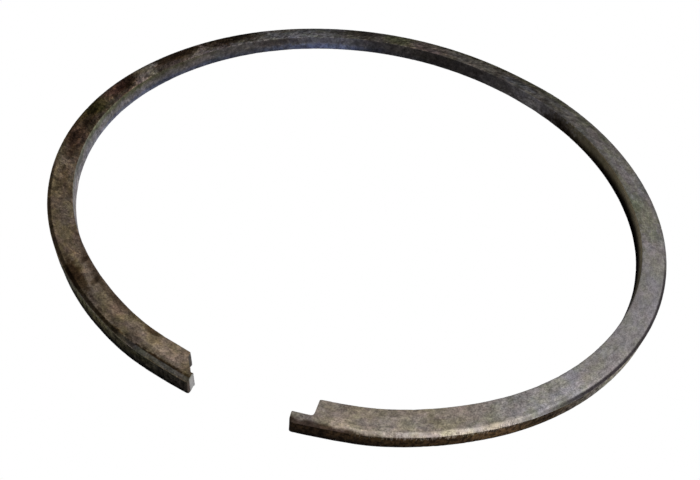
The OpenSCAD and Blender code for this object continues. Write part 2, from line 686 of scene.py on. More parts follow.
class NodeSheet:
    """Adds nodes to one tree and links them, laying them out in columns."""

    COLUMN = 190
    ROW = 170
    ROWS = 8
    # A Mix node's factor and two values, and its result
    MIX_NUMBERS = ((0, 2, 3), 0)
    MIX_COLOURS = ((0, 6, 7), 2)

    def __init__(self, tree: bpy.types.NodeTree) -> None:
        """Takes over an empty tree."""
        self.tree = tree
        self.count = 0

    def add(self, kind: str, *values: Input, **settings: object) -> bpy.types.Node:
        """Adds one node.

        Args:
            kind: The node's type name, without the "ShaderNode" that most of them start with.
            *values: What its first inputs get, in their order.
            **settings: Properties to set on it.

        Returns:
            The new node.
        """
        node = self.tree.nodes.new(kind if kind.startswith("NodeGroup") else "ShaderNode" + kind)
        node.location = (self.count // self.ROWS * self.COLUMN, -(self.count % self.ROWS) * self.ROW)
        self.count += 1
        for name, value in settings.items():
            setattr(node, name, value)
        for socket, value in zip(node.inputs, values):
            self.feed(socket, value)
        return node

    def feed(self, socket: bpy.types.NodeSocket, value: Input) -> None:
        """Links a socket to another, or sets its value."""
        if isinstance(value, bpy.types.NodeSocket):
            self.tree.links.new(value, socket)
        elif socket.type == "RGBA":
            socket.default_value = (*value, 1.0)
        else:
            socket.default_value = value

    def feed_named(self, node: bpy.types.Node, **inputs: Input) -> bpy.types.Node:
        """Feeds a node's inputs by name, with _ for each space in a name, and returns the node."""
        for name, value in inputs.items():
            self.feed(node.inputs[name.replace("_", " ")], value)
        return node

    def math(self, operation: str, *values: Input) -> bpy.types.NodeSocket:
        """Returns the result of a Math node on up to three values."""
        return self.add("Math", *values, operation=operation).outputs[0]

    def times(self, *values: Input) -> bpy.types.NodeSocket:
        """Multiplies two or more numbers."""
        product = values[0]
        for value in values[1:]:
            product = self.math("MULTIPLY", product, value)
        return product

    def rest_of(self, share: Input) -> bpy.types.NodeSocket:
        """Returns what a share leaves of 1."""
        return self.math("SUBTRACT", 1.0, share)

    def vector(self, operation: str, *values: Input) -> bpy.types.NodeSocket:
        """Returns the vector that a Vector Math node makes."""
        return self.add("VectorMath", *values, operation=operation).outputs[0]

    def parts(self, vector: bpy.types.NodeSocket) -> list[bpy.types.NodeSocket]:
        """Returns the three parts of a vector."""
        return list(self.add("SeparateXYZ", vector).outputs)

    def joined(self, *parts: Input) -> bpy.types.NodeSocket:
        """Returns the vector that has the three given parts."""
        return self.add("CombineXYZ", *parts).outputs[0]

    def remap(self, value: Input, low: Input, high: Input, at_low: Input = 0.0,
              at_high: Input = 1.0) -> bpy.types.NodeSocket:
        """Runs a number smoothly from one result to another, and holds it there past both.

        Args:
            value: The number to read.
            low: Where the first result is reached.
            high: Where the second result is reached.
            at_low: The first result.
            at_high: The second result.

        Returns:
            The result.
        """
        node = self.add("MapRange", value, low, high, at_low, at_high, interpolation_type="SMOOTHSTEP")
        return node.outputs[0]

    def noise(self, vector: Input, scale: float, detail: float, roughness: float) -> bpy.types.NodeSocket:
        """Returns the value of a Noise Texture node, about 0.5."""
        node = self.add("TexNoise")
        return self.feed_named(node, Vector=vector, Scale=scale, Detail=detail, Roughness=roughness).outputs[0]

    def _mixed(self, sockets: tuple[tuple[int, ...], int], values: Sequence[Input],
               **settings: object) -> bpy.types.NodeSocket:
        """Adds a Mix node.

        Args:
            sockets: The places of its factor and two values, and of its result.
            values: The factor and the two values.
            **settings: Properties to set on it.

        Returns:
            Its result.
        """
        node = self.add("Mix", **settings)
        inputs, result = sockets
        for index, value in zip(inputs, values):
            self.feed(node.inputs[index], value)
        return node.outputs[result]

    def blend(self, kind: str, amount: Input, under: Input, over: Input) -> bpy.types.NodeSocket:
        """Mixes two colours in a given way."""
        return self._mixed(self.MIX_COLOURS, (amount, under, over), data_type="RGBA", blend_type=kind)

    def lerp(self, amount: Input, low: Input, high: Input) -> bpy.types.NodeSocket:
        """Mixes two numbers."""
        return self._mixed(self.MIX_NUMBERS, (amount, low, high), data_type="FLOAT")

    def use(self, group: bpy.types.NodeTree, **inputs: Input) -> bpy.types.Node:
        """Places a node group, and feeds its inputs by name."""
        return self.feed_named(self.add("Group", node_tree=group), **inputs)


class Kind(Enum):
    """What a group's socket carries."""

    NUMBER = "NodeSocketFloat"
    COLOUR = "NodeSocketColor"
    VECTOR = "NodeSocketVector"


Sockets = dict[str, Kind]


def numbers(*names: str) -> Sockets:
    """Returns sockets that carry numbers."""
    return dict.fromkeys(names, Kind.NUMBER)


SURFACE: Sockets = {"Color": Kind.COLOUR, **numbers("Roughness", "Metallic")}


class GroupSheet(NodeSheet):
    """A sheet for a new node group, with its inputs and outputs."""

    def __init__(self, name: str, inputs: Sockets, outputs: Sockets) -> None:
        """Starts the group.

        Args:
            name: The group's name.
            inputs: What each input carries, by name.
            outputs: What each output carries, by name.
        """
        super().__init__(bpy.data.node_groups.new(name, "ShaderNodeTree"))
        for in_out, sockets in (("INPUT", inputs), ("OUTPUT", outputs)):
            for label, kind in sockets.items():
                self.tree.interface.new_socket(name=label, in_out=in_out, socket_type=kind.value)
        self.given = self.add("NodeGroupInput").outputs
        self.wanted = self.add("NodeGroupOutput").inputs


@dataclass(frozen=True)
class Blotches:
    """Uneven tone: clouds, grain or streaks, by their size along and across the ring in millimetres.

    The tone comes up where the noise, read at the seed, passes from `low` to `high`. `slant` is how far it leans
    along the ring for each length into the wall.
    """

    along: float
    across: float
    low: float
    high: float
    seed: float
    slant: float = 0.0


class Pattern(Enum):
    """The patterns in the iron and in what lies on it."""

    RED_HEAT = Blotches(2.4, 1.44, 0.40, 0.68, 3.1)
    OLIVE_HEAT = Blotches(2.0, 1.2, 0.40, 0.68, 8.7)
    BLUE_HEAT = Blotches(3.2, 1.92, 0.40, 0.68, 15.2)
    GRAIN = Blotches(0.18, 0.15, 0.34, 0.66, 21.0)
    MOTTLE = Blotches(0.5, 0.36, 0.38, 0.62, 24.0)
    CLOUDS = Blotches(1.5, 0.8, 0.36, 0.64, 27.0)
    STROKES = Blotches(0.16, 0.9, 0.4, 0.66, 30.0, 0.8)
    SCUFFS = Blotches(2.4, 0.12, 0.34, 0.7, 33.0)
    SPECKS = Blotches(0.24, 0.2, 0.6, 0.7, 40.0)
    STREAKS = Blotches(0.13, 2.5, 0.38, 0.66, 51.0)
    PATCHES = Blotches(1.2, 1.0, 0.3, 0.62, 58.0)
    RUNS = Blotches(0.45, 0.7, 0.42, 0.62, 64.0)
    RUBS = Blotches(1.6, 0.6, 0.42, 0.66, 71.0)
    DARK_BLOTS = Blotches(1.2, 0.9, 0.48, 0.62, 81.0, 0.8)
    CLEAN_BLOTS = Blotches(1.1, 0.7, 0.48, 0.62, 87.0, 0.8)
    DARK_FLECKS = Blotches(0.36, 0.42, 0.48, 0.62, 93.0, 0.8)
    CLEAN_FLECKS = Blotches(0.3, 0.36, 0.48, 0.62, 99.0, 0.8)


# The faint colours that heat has left in the iron
HEAT_COLOURS: dict[Pattern, Colour] = {
    Pattern.RED_HEAT: (1.03, 0.965, 1.0),
    Pattern.OLIVE_HEAT: (0.97, 1.02, 0.82),
    Pattern.BLUE_HEAT: (0.93, 0.99, 1.11),
}

# How bright the iron is where each pattern is away, and where it is full
TONES: dict[Pattern, tuple[float, float]] = {
    Pattern.GRAIN: (0.74, 1.30),
    Pattern.MOTTLE: (0.80, 1.22),
    Pattern.CLOUDS: (0.80, 1.20),
    Pattern.STROKES: (0.93, 1.09),
    Pattern.SCUFFS: (0.93, 1.07),
    Pattern.SPECKS: (1.0, 0.5),
}


class Effects:
    """The node groups that the finishes share, each built once."""

    # Scale, detail and roughness of the noise in blotches, and of that in the rims of stains
    BLOTCH_NOISE = (1.0, 3.0, 0.6)
    RIM_NOISE = (1.6, 4.0, 0.65)
    GRAIN_ROUGHNESS = 0.14
    SPECK_ROUGHNESS = 0.1
    CLOUD_RELIEF = 0.5
    SCUFF_RELIEF = 0.3

    def __init__(self) -> None:
        """Builds the groups."""
        self.blotches = self._blotches()
        self.faces = self._faces()
        self.film = self._film()
        self.stain = self._stain()
        self.metal = self._metal()
        self.tones = self._tones()

    def pattern(self, sheet: NodeSheet, lay: Input, kind: Pattern) -> bpy.types.NodeSocket:
        """Places the group for one pattern.

        Args:
            sheet: The sheet to place it on.
            lay: The straightened coordinates.
            kind: The pattern.

        Returns:
            The pattern's mask.
        """
        look = kind.value
        if look.slant:
            along, depth, height = sheet.parts(lay)
            lay = sheet.joined(sheet.math("MULTIPLY_ADD", depth, look.slant, along), depth, height)
        return sheet.use(self.blotches, Lay=lay, Along=look.along, Across=look.across, Low=look.low,
                         High=look.high, Seed=look.seed).outputs[0]

    def _blotches(self) -> bpy.types.NodeTree:
        """Builds the group that draws every pattern."""
        inputs = {"Lay": Kind.VECTOR, **numbers("Along", "Across", "Low", "High", "Seed")}
        sheet = GroupSheet("blotches", inputs, numbers("Mask"))
        given = sheet.given
        size = sheet.joined(given["Along"], given["Across"], given["Across"])
        seed = sheet.joined(given["Seed"], given["Seed"], given["Seed"])
        moved = sheet.vector("ADD", sheet.vector("DIVIDE", given["Lay"], size), seed)
        tone = sheet.noise(moved, *self.BLOTCH_NOISE)
        sheet.feed(sheet.wanted["Mask"], sheet.remap(tone, given["Low"], given["High"]))
        return sheet.tree

    @staticmethod
    def _faces() -> bpy.types.NodeTree:
        """Builds a mask for each machined face, from the straightened coordinates in millimetres."""
        inputs = {"Lay": Kind.VECTOR, **numbers("Wall", "Height", "Crispness")}
        outputs = numbers("Outer", "Inner", "Top", "Cut", "From Outer Edge", "From Inner Edge")
        sheet = GroupSheet("faces", inputs, outputs)
        given, wanted = sheet.given, sheet.wanted
        _, depth, height = sheet.parts(given["Lay"])
        from_inner = sheet.math("SUBTRACT", given["Wall"], depth)
        from_top = sheet.math("SUBTRACT", given["Height"], height)
        outer, inner, top, bottom = (
            sheet.remap(distance, 0.0, given["Crispness"], 1.0, 0.0)
            for distance in (depth, from_inner, from_top, height)
        )
        level = sheet.math("MAXIMUM", top, bottom)
        walls = sheet.rest_of(level)
        machined = sheet.math("MAXIMUM", sheet.math("MAXIMUM", outer, inner), level)
        sheet.feed(wanted["Outer"], sheet.times(outer, walls))
        sheet.feed(wanted["Inner"], sheet.times(inner, walls))
        sheet.feed(wanted["Top"], top)
        sheet.feed(wanted["Cut"], sheet.rest_of(machined))
        sheet.feed(wanted["From Outer Edge"], sheet.math("SUBTRACT", depth, from_top))
        sheet.feed(wanted["From Inner Edge"], sheet.math("SUBTRACT", from_inner, from_top))
        return sheet.tree

    @staticmethod
    def _film() -> bpy.types.NodeTree:
        """Builds a film that the iron shows through, a deposit that in places also paints shade and reflection,
        which tints it and dulls it.
        """
        inputs = {**SURFACE, "Tint": Kind.COLOUR, **numbers("Film Roughness", "Dulling", "Amount")}
        sheet = GroupSheet("film", inputs, SURFACE)
        given, wanted = sheet.given, sheet.wanted
        amount = given["Amount"]
        kept = sheet.rest_of(sheet.times(amount, given["Dulling"]))
        sheet.feed(wanted["Color"], sheet.blend("MULTIPLY", amount, given["Color"], given["Tint"]))
        sheet.feed(wanted["Roughness"], sheet.lerp(amount, given["Roughness"], given["Film Roughness"]))
        sheet.feed(wanted["Metallic"], sheet.times(given["Metallic"], kept))
        return sheet.tree

    def _stain(self) -> bpy.types.NodeTree:
        """Builds one stain: an oval of film with a ragged rim, on a chart of one face in millimetres."""
        inputs = {
            **SURFACE, "Chart": Kind.VECTOR, "Tint": Kind.COLOUR,
            **numbers("Middle", "Level", "Length", "Width", "Lean", "Softness", "Rag", "Film Roughness",
                      "Dulling", "Amount"),
        }
        sheet = GroupSheet("stain", inputs, SURFACE)
        given = sheet.given
        along, across, _ = sheet.parts(given["Chart"])
        off_level = sheet.math("SUBTRACT", across, given["Level"])
        middle = sheet.math("MULTIPLY_ADD", off_level, given["Lean"], given["Middle"])
        far = sheet.math("DIVIDE", sheet.math("SUBTRACT", along, middle), given["Length"])
        wide = sheet.math("DIVIDE", off_level, given["Width"])
        spread = sheet.math("SQRT", sheet.math("MULTIPLY_ADD", far, far, sheet.times(wide, wide)))
        rough = sheet.math("SUBTRACT", sheet.noise(given["Chart"], *self.RIM_NOISE), 0.5)
        ragged = sheet.math("MULTIPLY_ADD", rough, given["Rag"], spread)
        shape = sheet.remap(ragged, sheet.rest_of(given["Softness"]), 1.0, 1.0, 0.0)
        film = sheet.use(self.film, Amount=sheet.times(shape, given["Amount"]))
        for name in (*SURFACE, "Tint", "Film Roughness", "Dulling"):
            sheet.feed(film.inputs[name], given[name])
        for name in SURFACE:
            sheet.feed(sheet.wanted[name], film.outputs[name])
        return sheet.tree

    @staticmethod
    def _metal() -> bpy.types.NodeTree:
        """Builds a place where one surface takes over from another, such as rubbed metal."""
        inputs = {**SURFACE, **{"New " + name: kind for name, kind in SURFACE.items()}, **numbers("Mask")}
        sheet = GroupSheet("metal", inputs, SURFACE)
        given, wanted = sheet.given, sheet.wanted
        mask = given["Mask"]
        sheet.feed(wanted["Color"], sheet.blend("MIX", mask, given["Color"], given["New Color"]))
        for name in ("Roughness", "Metallic"):
            sheet.feed(wanted[name], sheet.lerp(mask, given[name], given["New " + name]))
        return sheet.tree

    def _tones(self) -> bpy.types.NodeTree:
        """Builds the iron's unevenness: faint heat colours, clouds, grain and dark specks."""
        inputs = {**SURFACE, "Lay": Kind.VECTOR, **numbers("Strength")}
        sheet = GroupSheet("tones", inputs, {**SURFACE, **numbers("Bump Height")})
        given, wanted = sheet.given, sheet.wanted
        lay, strength, colour = given["Lay"], given["Strength"], given["Color"]
        for pattern, tint in HEAT_COLOURS.items():
            mask = sheet.times(self.pattern(sheet, lay, pattern), strength)
            colour = sheet.blend("MULTIPLY", mask, colour, tint)
        masks = {pattern: self.pattern(sheet, lay, pattern) for pattern in TONES}
        for pattern, (away, full) in TONES.items():
            level = sheet.lerp(strength, 1.0, sheet.lerp(masks[pattern], away, full))
            colour = sheet.blend("MULTIPLY", 1.0, colour, sheet.joined(level, level, level))
        sheet.feed(wanted["Color"], colour)
        grain, specks = masks[Pattern.GRAIN], masks[Pattern.SPECKS]
        off_middle = sheet.math("SUBTRACT", grain, 0.5)
        rougher = sheet.math("MULTIPLY_ADD", off_middle, self.GRAIN_ROUGHNESS, given["Roughness"])
        sheet.feed(wanted["Roughness"], sheet.math("MULTIPLY_ADD", specks, self.SPECK_ROUGHNESS, rougher))
        sheet.feed(wanted["Metallic"], given["Metallic"])
        relief = sheet.math("MULTIPLY_ADD", masks[Pattern.CLOUDS], self.CLOUD_RELIEF, grain)
        relief = sheet.math("MULTIPLY_ADD", masks[Pattern.SCUFFS], self.SCUFF_RELIEF, relief)
        sheet.feed(wanted["Bump Height"], sheet.math("SUBTRACT", relief, specks))
        return sheet.tree


# ---------------------------------------------------------------- finishes


@dataclass(frozen=True)
class Metal:
    """A bare surface of the iron."""

    colour: Colour
    roughness: float
    metallic: float = 0.4


class Finish(Enum):
    """The bare surfaces that the ring's faces are in."""

    SIDE_FACE = Metal((0.285, 0.276, 0.268), 0.55)
    RUNNING_FACE = Metal((0.27, 0.255, 0.235), 0.5)
    INNER_FACE = Metal((0.32, 0.305, 0.33), 0.55)
    CUT_END = Metal((0.66, 0.65, 0.64), 0.5)
    # Rubbed bare metal, which also paints the highlight on the +X bevel and along the upper inner edge
    RUBBED_EDGE_AND_HIGHLIGHT = Metal((0.375, 0.325, 0.275), 0.45)
    # Scraped bare metal, which also paints the glint along the running face's upper edge at the -X end
    SCRAPED_BEVEL_AND_GLINT = Metal((0.15, 0.135, 0.12), 0.55)


@dataclass(frozen=True)
class Film:
    """A film that the iron shows through, a deposit that in places also paints shade and reflection: it tints
    the iron, sets its roughness and dulls its shine.
    """

    tint: Colour
    roughness: float = 0.6
    dulling: float = 0.4


class Deposit(Enum):
    """What oil, heat and handling have left on the ring, with a dark line along an edge and some films that also
    paint contact shade and the floor's reflection. The last one is where they are rubbed off, and it also paints
    that reflection.
    """

    OIL_VARNISH = Film((0.66, 0.51, 0.38), 0.5)
    BROWN_LACQUER = Film((0.26, 0.158, 0.072), 0.5, 0.7)
    BURNT_OIL = Film((0.33, 0.282, 0.215), 0.6, 0.7)
    # Soot, which also paints contact shade at the foot of the running face
    SOOT_AND_PAINTED_SHADE = Film((0.20, 0.16, 0.14), 0.75, 0.9)
    # A dark line along the upper edge of the bevel on the +X side
    DARK_EDGE_LINE = Film((0.17, 0.155, 0.17), 0.5, 0.8)
    GREY_HAZE = Film((0.31, 0.295, 0.275), 0.62, 0.5)
    OLIVE_HAZE = Film((0.69, 0.76, 0.53), 0.6, 0.5)
    TAN_VARNISH = Film((0.72, 0.64, 0.39), 0.55, 0.4)
    # A blue haze, which also paints the floor's reflection on the lower inner face
    BLUE_HAZE_AND_PAINTED_REFLECTION = Film((0.78, 0.86, 1.05), 0.6, 0.3)
    PURPLE_HAZE = Film((1.0, 0.86, 0.93), 0.6, 0.3)
    WARM_HAZE = Film((1.0, 0.87, 0.76), 0.55, 0.2)
    # Lightens the iron where deposits are rubbed off, and also paints the floor's reflection
    RUBBED_CLEAN_AND_PAINTED_REFLECTION = Film((1.7, 1.66, 1.6), 0.5, 0.0)


class Face(Enum):
    """The faces that carry stains: the name of the mask, how far across the face is measured, and a seed."""

    TOP = ("Top", "depth", 0.0)
    OUTER = ("Outer", "height", 7.0)
    INNER = ("Inner", "height", 19.0)
    CUT = ("Cut", "depth", 31.0)


@dataclass(frozen=True)
class Stain:
    """One stain on a face; a few of them also paint contact shade and the floor's reflection.

    It is an oval about a turn, in degrees, and a level: the depth on the upper face and the cut ends, the height
    on the others, in millimetres. It reaches some degrees each way along the ring and some millimetres each way
    across it. `lean` is how many millimetres it moves along the ring for each one across it.
    """

    deposit: Deposit
    turn: float
    level: float
    reach: float
    width: float
    amount: float = 1.0
    lean: float = 0.0
    softness: float = 0.6
    rag: float = 0.8


# A width that takes in the whole face
ALL_ACROSS = 40.0

STAINS: dict[Face, tuple[Stain, ...]] = {
    Face.TOP: (
        # A haze of burnt oil that is heaviest across the back, and thins out on both sides
        Stain(Deposit.GREY_HAZE, 2, 1.35, 90, ALL_ACROSS, softness=0.72, rag=0.1),
        Stain(Deposit.PURPLE_HAZE, 0, 1.8, 7, 2.0, 0.8),
        Stain(Deposit.BLUE_HAZE_AND_PAINTED_REFLECTION, 23.5, 1.9, 7, 0.9),
        Stain(Deposit.BURNT_OIL, 22, 0.9, 11, 1.0, 0.3, rag=1.4),
        Stain(Deposit.OLIVE_HAZE, 64, 2.6, 22, 0.8, 0.5, softness=0.9),
        Stain(Deposit.GREY_HAZE, 56, 2.8, 17, 0.75, 0.5, softness=0.9),
        Stain(Deposit.RUBBED_CLEAN_AND_PAINTED_REFLECTION, 25, 2.5, 7, 1.0, 0.35),
        Stain(Deposit.OLIVE_HAZE, 20, 0.5, 36, 0.5, 0.7, rag=1.6),
        Stain(Deposit.OLIVE_HAZE, 72, 1.7, 10, 1.9, 0.7, rag=1.4),
        Stain(Deposit.OLIVE_HAZE, -8.5, 1.2, 5, 2.2),
        Stain(Deposit.SOOT_AND_PAINTED_SHADE, -16.5, 0.8, 5.5, 1.8, 0.8, rag=1.0),
        Stain(Deposit.BLUE_HAZE_AND_PAINTED_REFLECTION, -30, 1.6, 13, ALL_ACROSS, 0.9),
        Stain(Deposit.RUBBED_CLEAN_AND_PAINTED_REFLECTION, -29, 2.3, 11, 1.3, rag=1.0),
        Stain(Deposit.RUBBED_CLEAN_AND_PAINTED_REFLECTION, 4, 2.5, 12, 0.8, 0.5, rag=1.0),
        Stain(Deposit.RUBBED_CLEAN_AND_PAINTED_REFLECTION, -5.5, 2.2, 5, 0.9, 0.6, rag=1.0),
        Stain(Deposit.WARM_HAZE, -35.5, 0.6, 6, 0.9, rag=1.0),
        Stain(Deposit.GREY_HAZE, -35.5, 0.6, 5, 0.9, 0.2, rag=1.0),
        Stain(Deposit.BURNT_OIL, -48, 0.7, 11, 2.2, 0.9, rag=1.5),
        Stain(Deposit.SOOT_AND_PAINTED_SHADE, -46.5, 0.7, 5.5, 1.4, 0.9, rag=1.4),
        Stain(Deposit.SOOT_AND_PAINTED_SHADE, -14, 0.2, 36, 0.75, 0.4, softness=0.9, rag=1.6),
        # The -X side, varnished brown towards its end and burnt darker towards the back
        Stain(Deposit.OIL_VARNISH, -140, 1.35, 72, ALL_ACROSS, softness=0.55, rag=0.2),
        Stain(Deposit.BURNT_OIL, -94, 1.35, 20, ALL_ACROSS, 0.88, -1.3, softness=0.35, rag=0.4),
        Stain(Deposit.BURNT_OIL, -64.3, 1.1, 7.8, 2.6, 0.9, -1.2, softness=0.3, rag=0.6),
        Stain(Deposit.BURNT_OIL, -64.3, 0.65, 7.6, 1.5, 1.0, -0.5, softness=0.3, rag=0.7),
        Stain(Deposit.SOOT_AND_PAINTED_SHADE, -64.3, 0.4, 7, 1.0, 0.4),
        Stain(Deposit.BURNT_OIL, -53, 1.0, 6.5, 2.3, 0.95),
        Stain(Deposit.BURNT_OIL, -74.5, 0.6, 4.5, 1.2, 0.45, -1.3),
        Stain(Deposit.GREY_HAZE, -74.5, 1.4, 5, ALL_ACROSS, 0.25, -1.3),
        Stain(Deposit.BURNT_OIL, -80.9, 0.9, 4.2, 1.6, 0.8, -0.6, softness=0.35, rag=0.7),
        Stain(Deposit.SOOT_AND_PAINTED_SHADE, -97, 1.4, 5, 1.6, 0.35, -0.8),
        Stain(Deposit.SOOT_AND_PAINTED_SHADE, -80, 1.0, 4, 1.5, 0.45, -0.6),
        Stain(Deposit.RUBBED_CLEAN_AND_PAINTED_REFLECTION, -80, 2.8, 10, 0.5, 0.9, rag=0.6),
        Stain(Deposit.OLIVE_HAZE, -92.5, 0.9, 4.2, 1.6, softness=0.4),
        Stain(Deposit.PURPLE_HAZE, -82.5, 1.3, 6.5, ALL_ACROSS),
        Stain(Deposit.PURPLE_HAZE, -84, 0.9, 5, 1.4),
        Stain(Deposit.PURPLE_HAZE, -105, 1.3, 5, 1.6, 0.9, rag=1.4),
        Stain(Deposit.PURPLE_HAZE, -60, 1.3, 13, ALL_ACROSS, 0.9),
        Stain(Deposit.OLIVE_HAZE, -94.5, 1.0, 3.8, 1.5, 0.7, softness=0.4),
        Stain(Deposit.SOOT_AND_PAINTED_SHADE, -93, 0.7, 3.4, 1.1, 0.45, -0.5, rag=1.2),
        Stain(Deposit.SOOT_AND_PAINTED_SHADE, -99.5, 1.7, 2.4, 1.0, 0.4, 0.8, rag=1.2),
        Stain(Deposit.RUBBED_CLEAN_AND_PAINTED_REFLECTION, -88, 1.6, 1.6, 1.4, 0.5, -0.8, rag=1.2),
        Stain(Deposit.OLIVE_HAZE, -166, 1.6, 10, ALL_ACROSS, 0.2),
        Stain(Deposit.RUBBED_CLEAN_AND_PAINTED_REFLECTION, -165, 1.8, 9, 1.7, 0.4),
        Stain(Deposit.BLUE_HAZE_AND_PAINTED_REFLECTION, -165, 1.8, 9, 1.7, 0.35),
        Stain(Deposit.TAN_VARNISH, -166, 0.2, 8, 0.4, 0.5, softness=0.8),
        Stain(Deposit.OLIVE_HAZE, -95, 0.15, 24, 0.36, 0.4, softness=0.8),
        Stain(Deposit.BURNT_OIL, -115, 0.15, 5, 0.32, 0.35),
        Stain(Deposit.SOOT_AND_PAINTED_SHADE, -105.5, 1.2, 3.8, 0.7, 0.6),
        Stain(Deposit.SOOT_AND_PAINTED_SHADE, -110.5, 1.65, 3.2, 0.6, 0.5),
        Stain(Deposit.BURNT_OIL, -112, 1.9, 9, 1.2, 0.35, rag=1.2),
        Stain(Deposit.GREY_HAZE, -132, 1.3, 22, ALL_ACROSS, 0.22, rag=1.2),
        Stain(Deposit.BURNT_OIL, -146.3, 0.6, 5.6, 0.95, softness=0.45, rag=1.2),
        Stain(Deposit.SOOT_AND_PAINTED_SHADE, -145.6, 0.55, 3.2, 0.6, 0.6, rag=1.2),
        Stain(Deposit.BURNT_OIL, -168, 0.48, 6, 0.3, softness=0.5, rag=2.6),
        Stain(Deposit.SOOT_AND_PAINTED_SHADE, -166, 0.42, 6, 0.22, 0.8, softness=0.5, rag=2.6),
        Stain(Deposit.BURNT_OIL, -160, 0.32, 6, 0.26, 0.9, softness=0.5, rag=2.4),
        Stain(Deposit.BURNT_OIL, -154, 0.24, 6, 0.26, 0.6, softness=0.5, rag=2.6),
        Stain(Deposit.BURNT_OIL, -154, 0.8, 8, 0.5, 0.3, softness=0.5, rag=3.2),
        Stain(Deposit.BURNT_OIL, -163, 0.8, 5, 0.4, 0.3, softness=0.5, rag=2.8),
        Stain(Deposit.BURNT_OIL, -162.8, 2.4, 2.4, 0.4, 0.9, rag=1.3),
        Stain(Deposit.SOOT_AND_PAINTED_SHADE, -151.5, 0.74, 1.0, 0.2, 0.6, rag=1.6),
        Stain(Deposit.SOOT_AND_PAINTED_SHADE, -154.3, 0.6, 0.9, 0.22, 0.7, rag=1.6),
        Stain(Deposit.SOOT_AND_PAINTED_SHADE, -157.6, 0.72, 1.1, 0.2, 0.6, rag=1.6),
        Stain(Deposit.SOOT_AND_PAINTED_SHADE, -160.8, 0.62, 1.3, 0.22, 0.7, rag=1.6),
        Stain(Deposit.SOOT_AND_PAINTED_SHADE, -164.2, 0.74, 1.0, 0.18, 0.6, rag=1.6),
        Stain(Deposit.RUBBED_CLEAN_AND_PAINTED_REFLECTION, -159.2, 0.42, 1.4, 0.2, 0.8, rag=1.6),
        Stain(Deposit.RUBBED_CLEAN_AND_PAINTED_REFLECTION, -166.5, 0.5, 1.6, 0.2, 0.7, rag=1.6),
        Stain(Deposit.BURNT_OIL, -149.0, 1.9, 0.9, 0.9, 0.8, 0.3),
        Stain(Deposit.BURNT_OIL, -144.0, 2.1, 0.8, 0.7, 0.7, 0.2),
        Stain(Deposit.BURNT_OIL, -149, 2.6, 17, 0.8, 0.75, rag=1.3),
        Stain(Deposit.BURNT_OIL, -140, 0.5, 3, 0.6, 0.5, rag=1.2),
        Stain(Deposit.RUBBED_CLEAN_AND_PAINTED_REFLECTION, -166.5, 1.6, 6, 0.8, 0.6, rag=1.4),
        Stain(Deposit.RUBBED_CLEAN_AND_PAINTED_REFLECTION, -146.4, 1.8, 0.7, 0.8, 0.8, -0.4),
        Stain(Deposit.RUBBED_CLEAN_AND_PAINTED_REFLECTION, -156, 1.6, 3.0, 0.5, 0.5, rag=1.4),
        Stain(Deposit.RUBBED_CLEAN_AND_PAINTED_REFLECTION, -141, 1.4, 3.0, 0.35, 0.45, rag=1.4),
        Stain(Deposit.RUBBED_CLEAN_AND_PAINTED_REFLECTION, -141.8, 1.7, 0.28, 0.5, 1.0, -1.5, rag=0.4),
        Stain(Deposit.RUBBED_CLEAN_AND_PAINTED_REFLECTION, -140.7, 1.45, 0.24, 0.25, 1.0, -1.1, rag=0.4),
        Stain(Deposit.BLUE_HAZE_AND_PAINTED_REFLECTION, -98, 2.3, 24, 0.7, rag=1.2),
        # The +X end is clean, with a cool cast and then a warm tarnish
        Stain(Deposit.PURPLE_HAZE, 92, 1.0, 62, ALL_ACROSS, 0.35),
        Stain(Deposit.WARM_HAZE, 160, 1.2, 22, ALL_ACROSS, rag=0.2),
        Stain(Deposit.GREY_HAZE, 120, 0.85, 6, 0.09, 0.35, rag=1.0),
        Stain(Deposit.GREY_HAZE, 117, 1.5, 4, 0.1, 0.25, 3.0, rag=1.0),
        Stain(Deposit.RUBBED_CLEAN_AND_PAINTED_REFLECTION, 160, 0.6, 8, 0.35, 0.7, rag=1.0),
        Stain(Deposit.RUBBED_CLEAN_AND_PAINTED_REFLECTION, 127, 0.9, 7, 0.8, 0.3, rag=1.6),
        Stain(Deposit.GREY_HAZE, 84, 2.3, 22, 1.2, 0.2, softness=0.9),
        Stain(Deposit.GREY_HAZE, 70, 0.12, 22, 0.42, 0.4, softness=0.9),
        Stain(Deposit.GREY_HAZE, 134, 0.15, 15, 0.35, 0.38, softness=0.9),
        Stain(Deposit.RUBBED_CLEAN_AND_PAINTED_REFLECTION, 135, 1.2, 8, 1.2, 0.25),
        Stain(Deposit.RUBBED_CLEAN_AND_PAINTED_REFLECTION, 166, 0.7, 4, 0.6, 0.4),
        Stain(Deposit.RUBBED_CLEAN_AND_PAINTED_REFLECTION, 165, 0.15, 6, 0.4, 0.4),
    ),
    Face.OUTER: (
        # The running face carries lacquer where gas has blown past it, near both ends and in places at the back
        Stain(Deposit.BROWN_LACQUER, 168, 1.0, 44, ALL_ACROSS, softness=0.3, rag=0.3),
        Stain(Deposit.RUBBED_CLEAN_AND_PAINTED_REFLECTION, 144, 1.0, 7, 1.2, rag=1.6),
        Stain(Deposit.RUBBED_CLEAN_AND_PAINTED_REFLECTION, 145, 1.0, 5, ALL_ACROSS, 0.35),
        Stain(Deposit.BLUE_HAZE_AND_PAINTED_REFLECTION, 143, 1.0, 9, ALL_ACROSS, 0.8),
        Stain(Deposit.BURNT_OIL, 128, 1.0, 6, ALL_ACROSS, 0.2),
        # Darker towards the bottom of the running face near the +X end: soot with painted contact shade
        Stain(Deposit.SOOT_AND_PAINTED_SHADE, 166, 0.0, 18, 1.5, softness=0.85),
        # Lighter on the running face here: the floor's grazing reflection painted in, with rubbed metal
        Stain(Deposit.RUBBED_CLEAN_AND_PAINTED_REFLECTION, 115, 1.0, 10, ALL_ACROSS, 0.85),
        Stain(Deposit.BURNT_OIL, 159, 0.9, 8, ALL_ACROSS, 0.3),
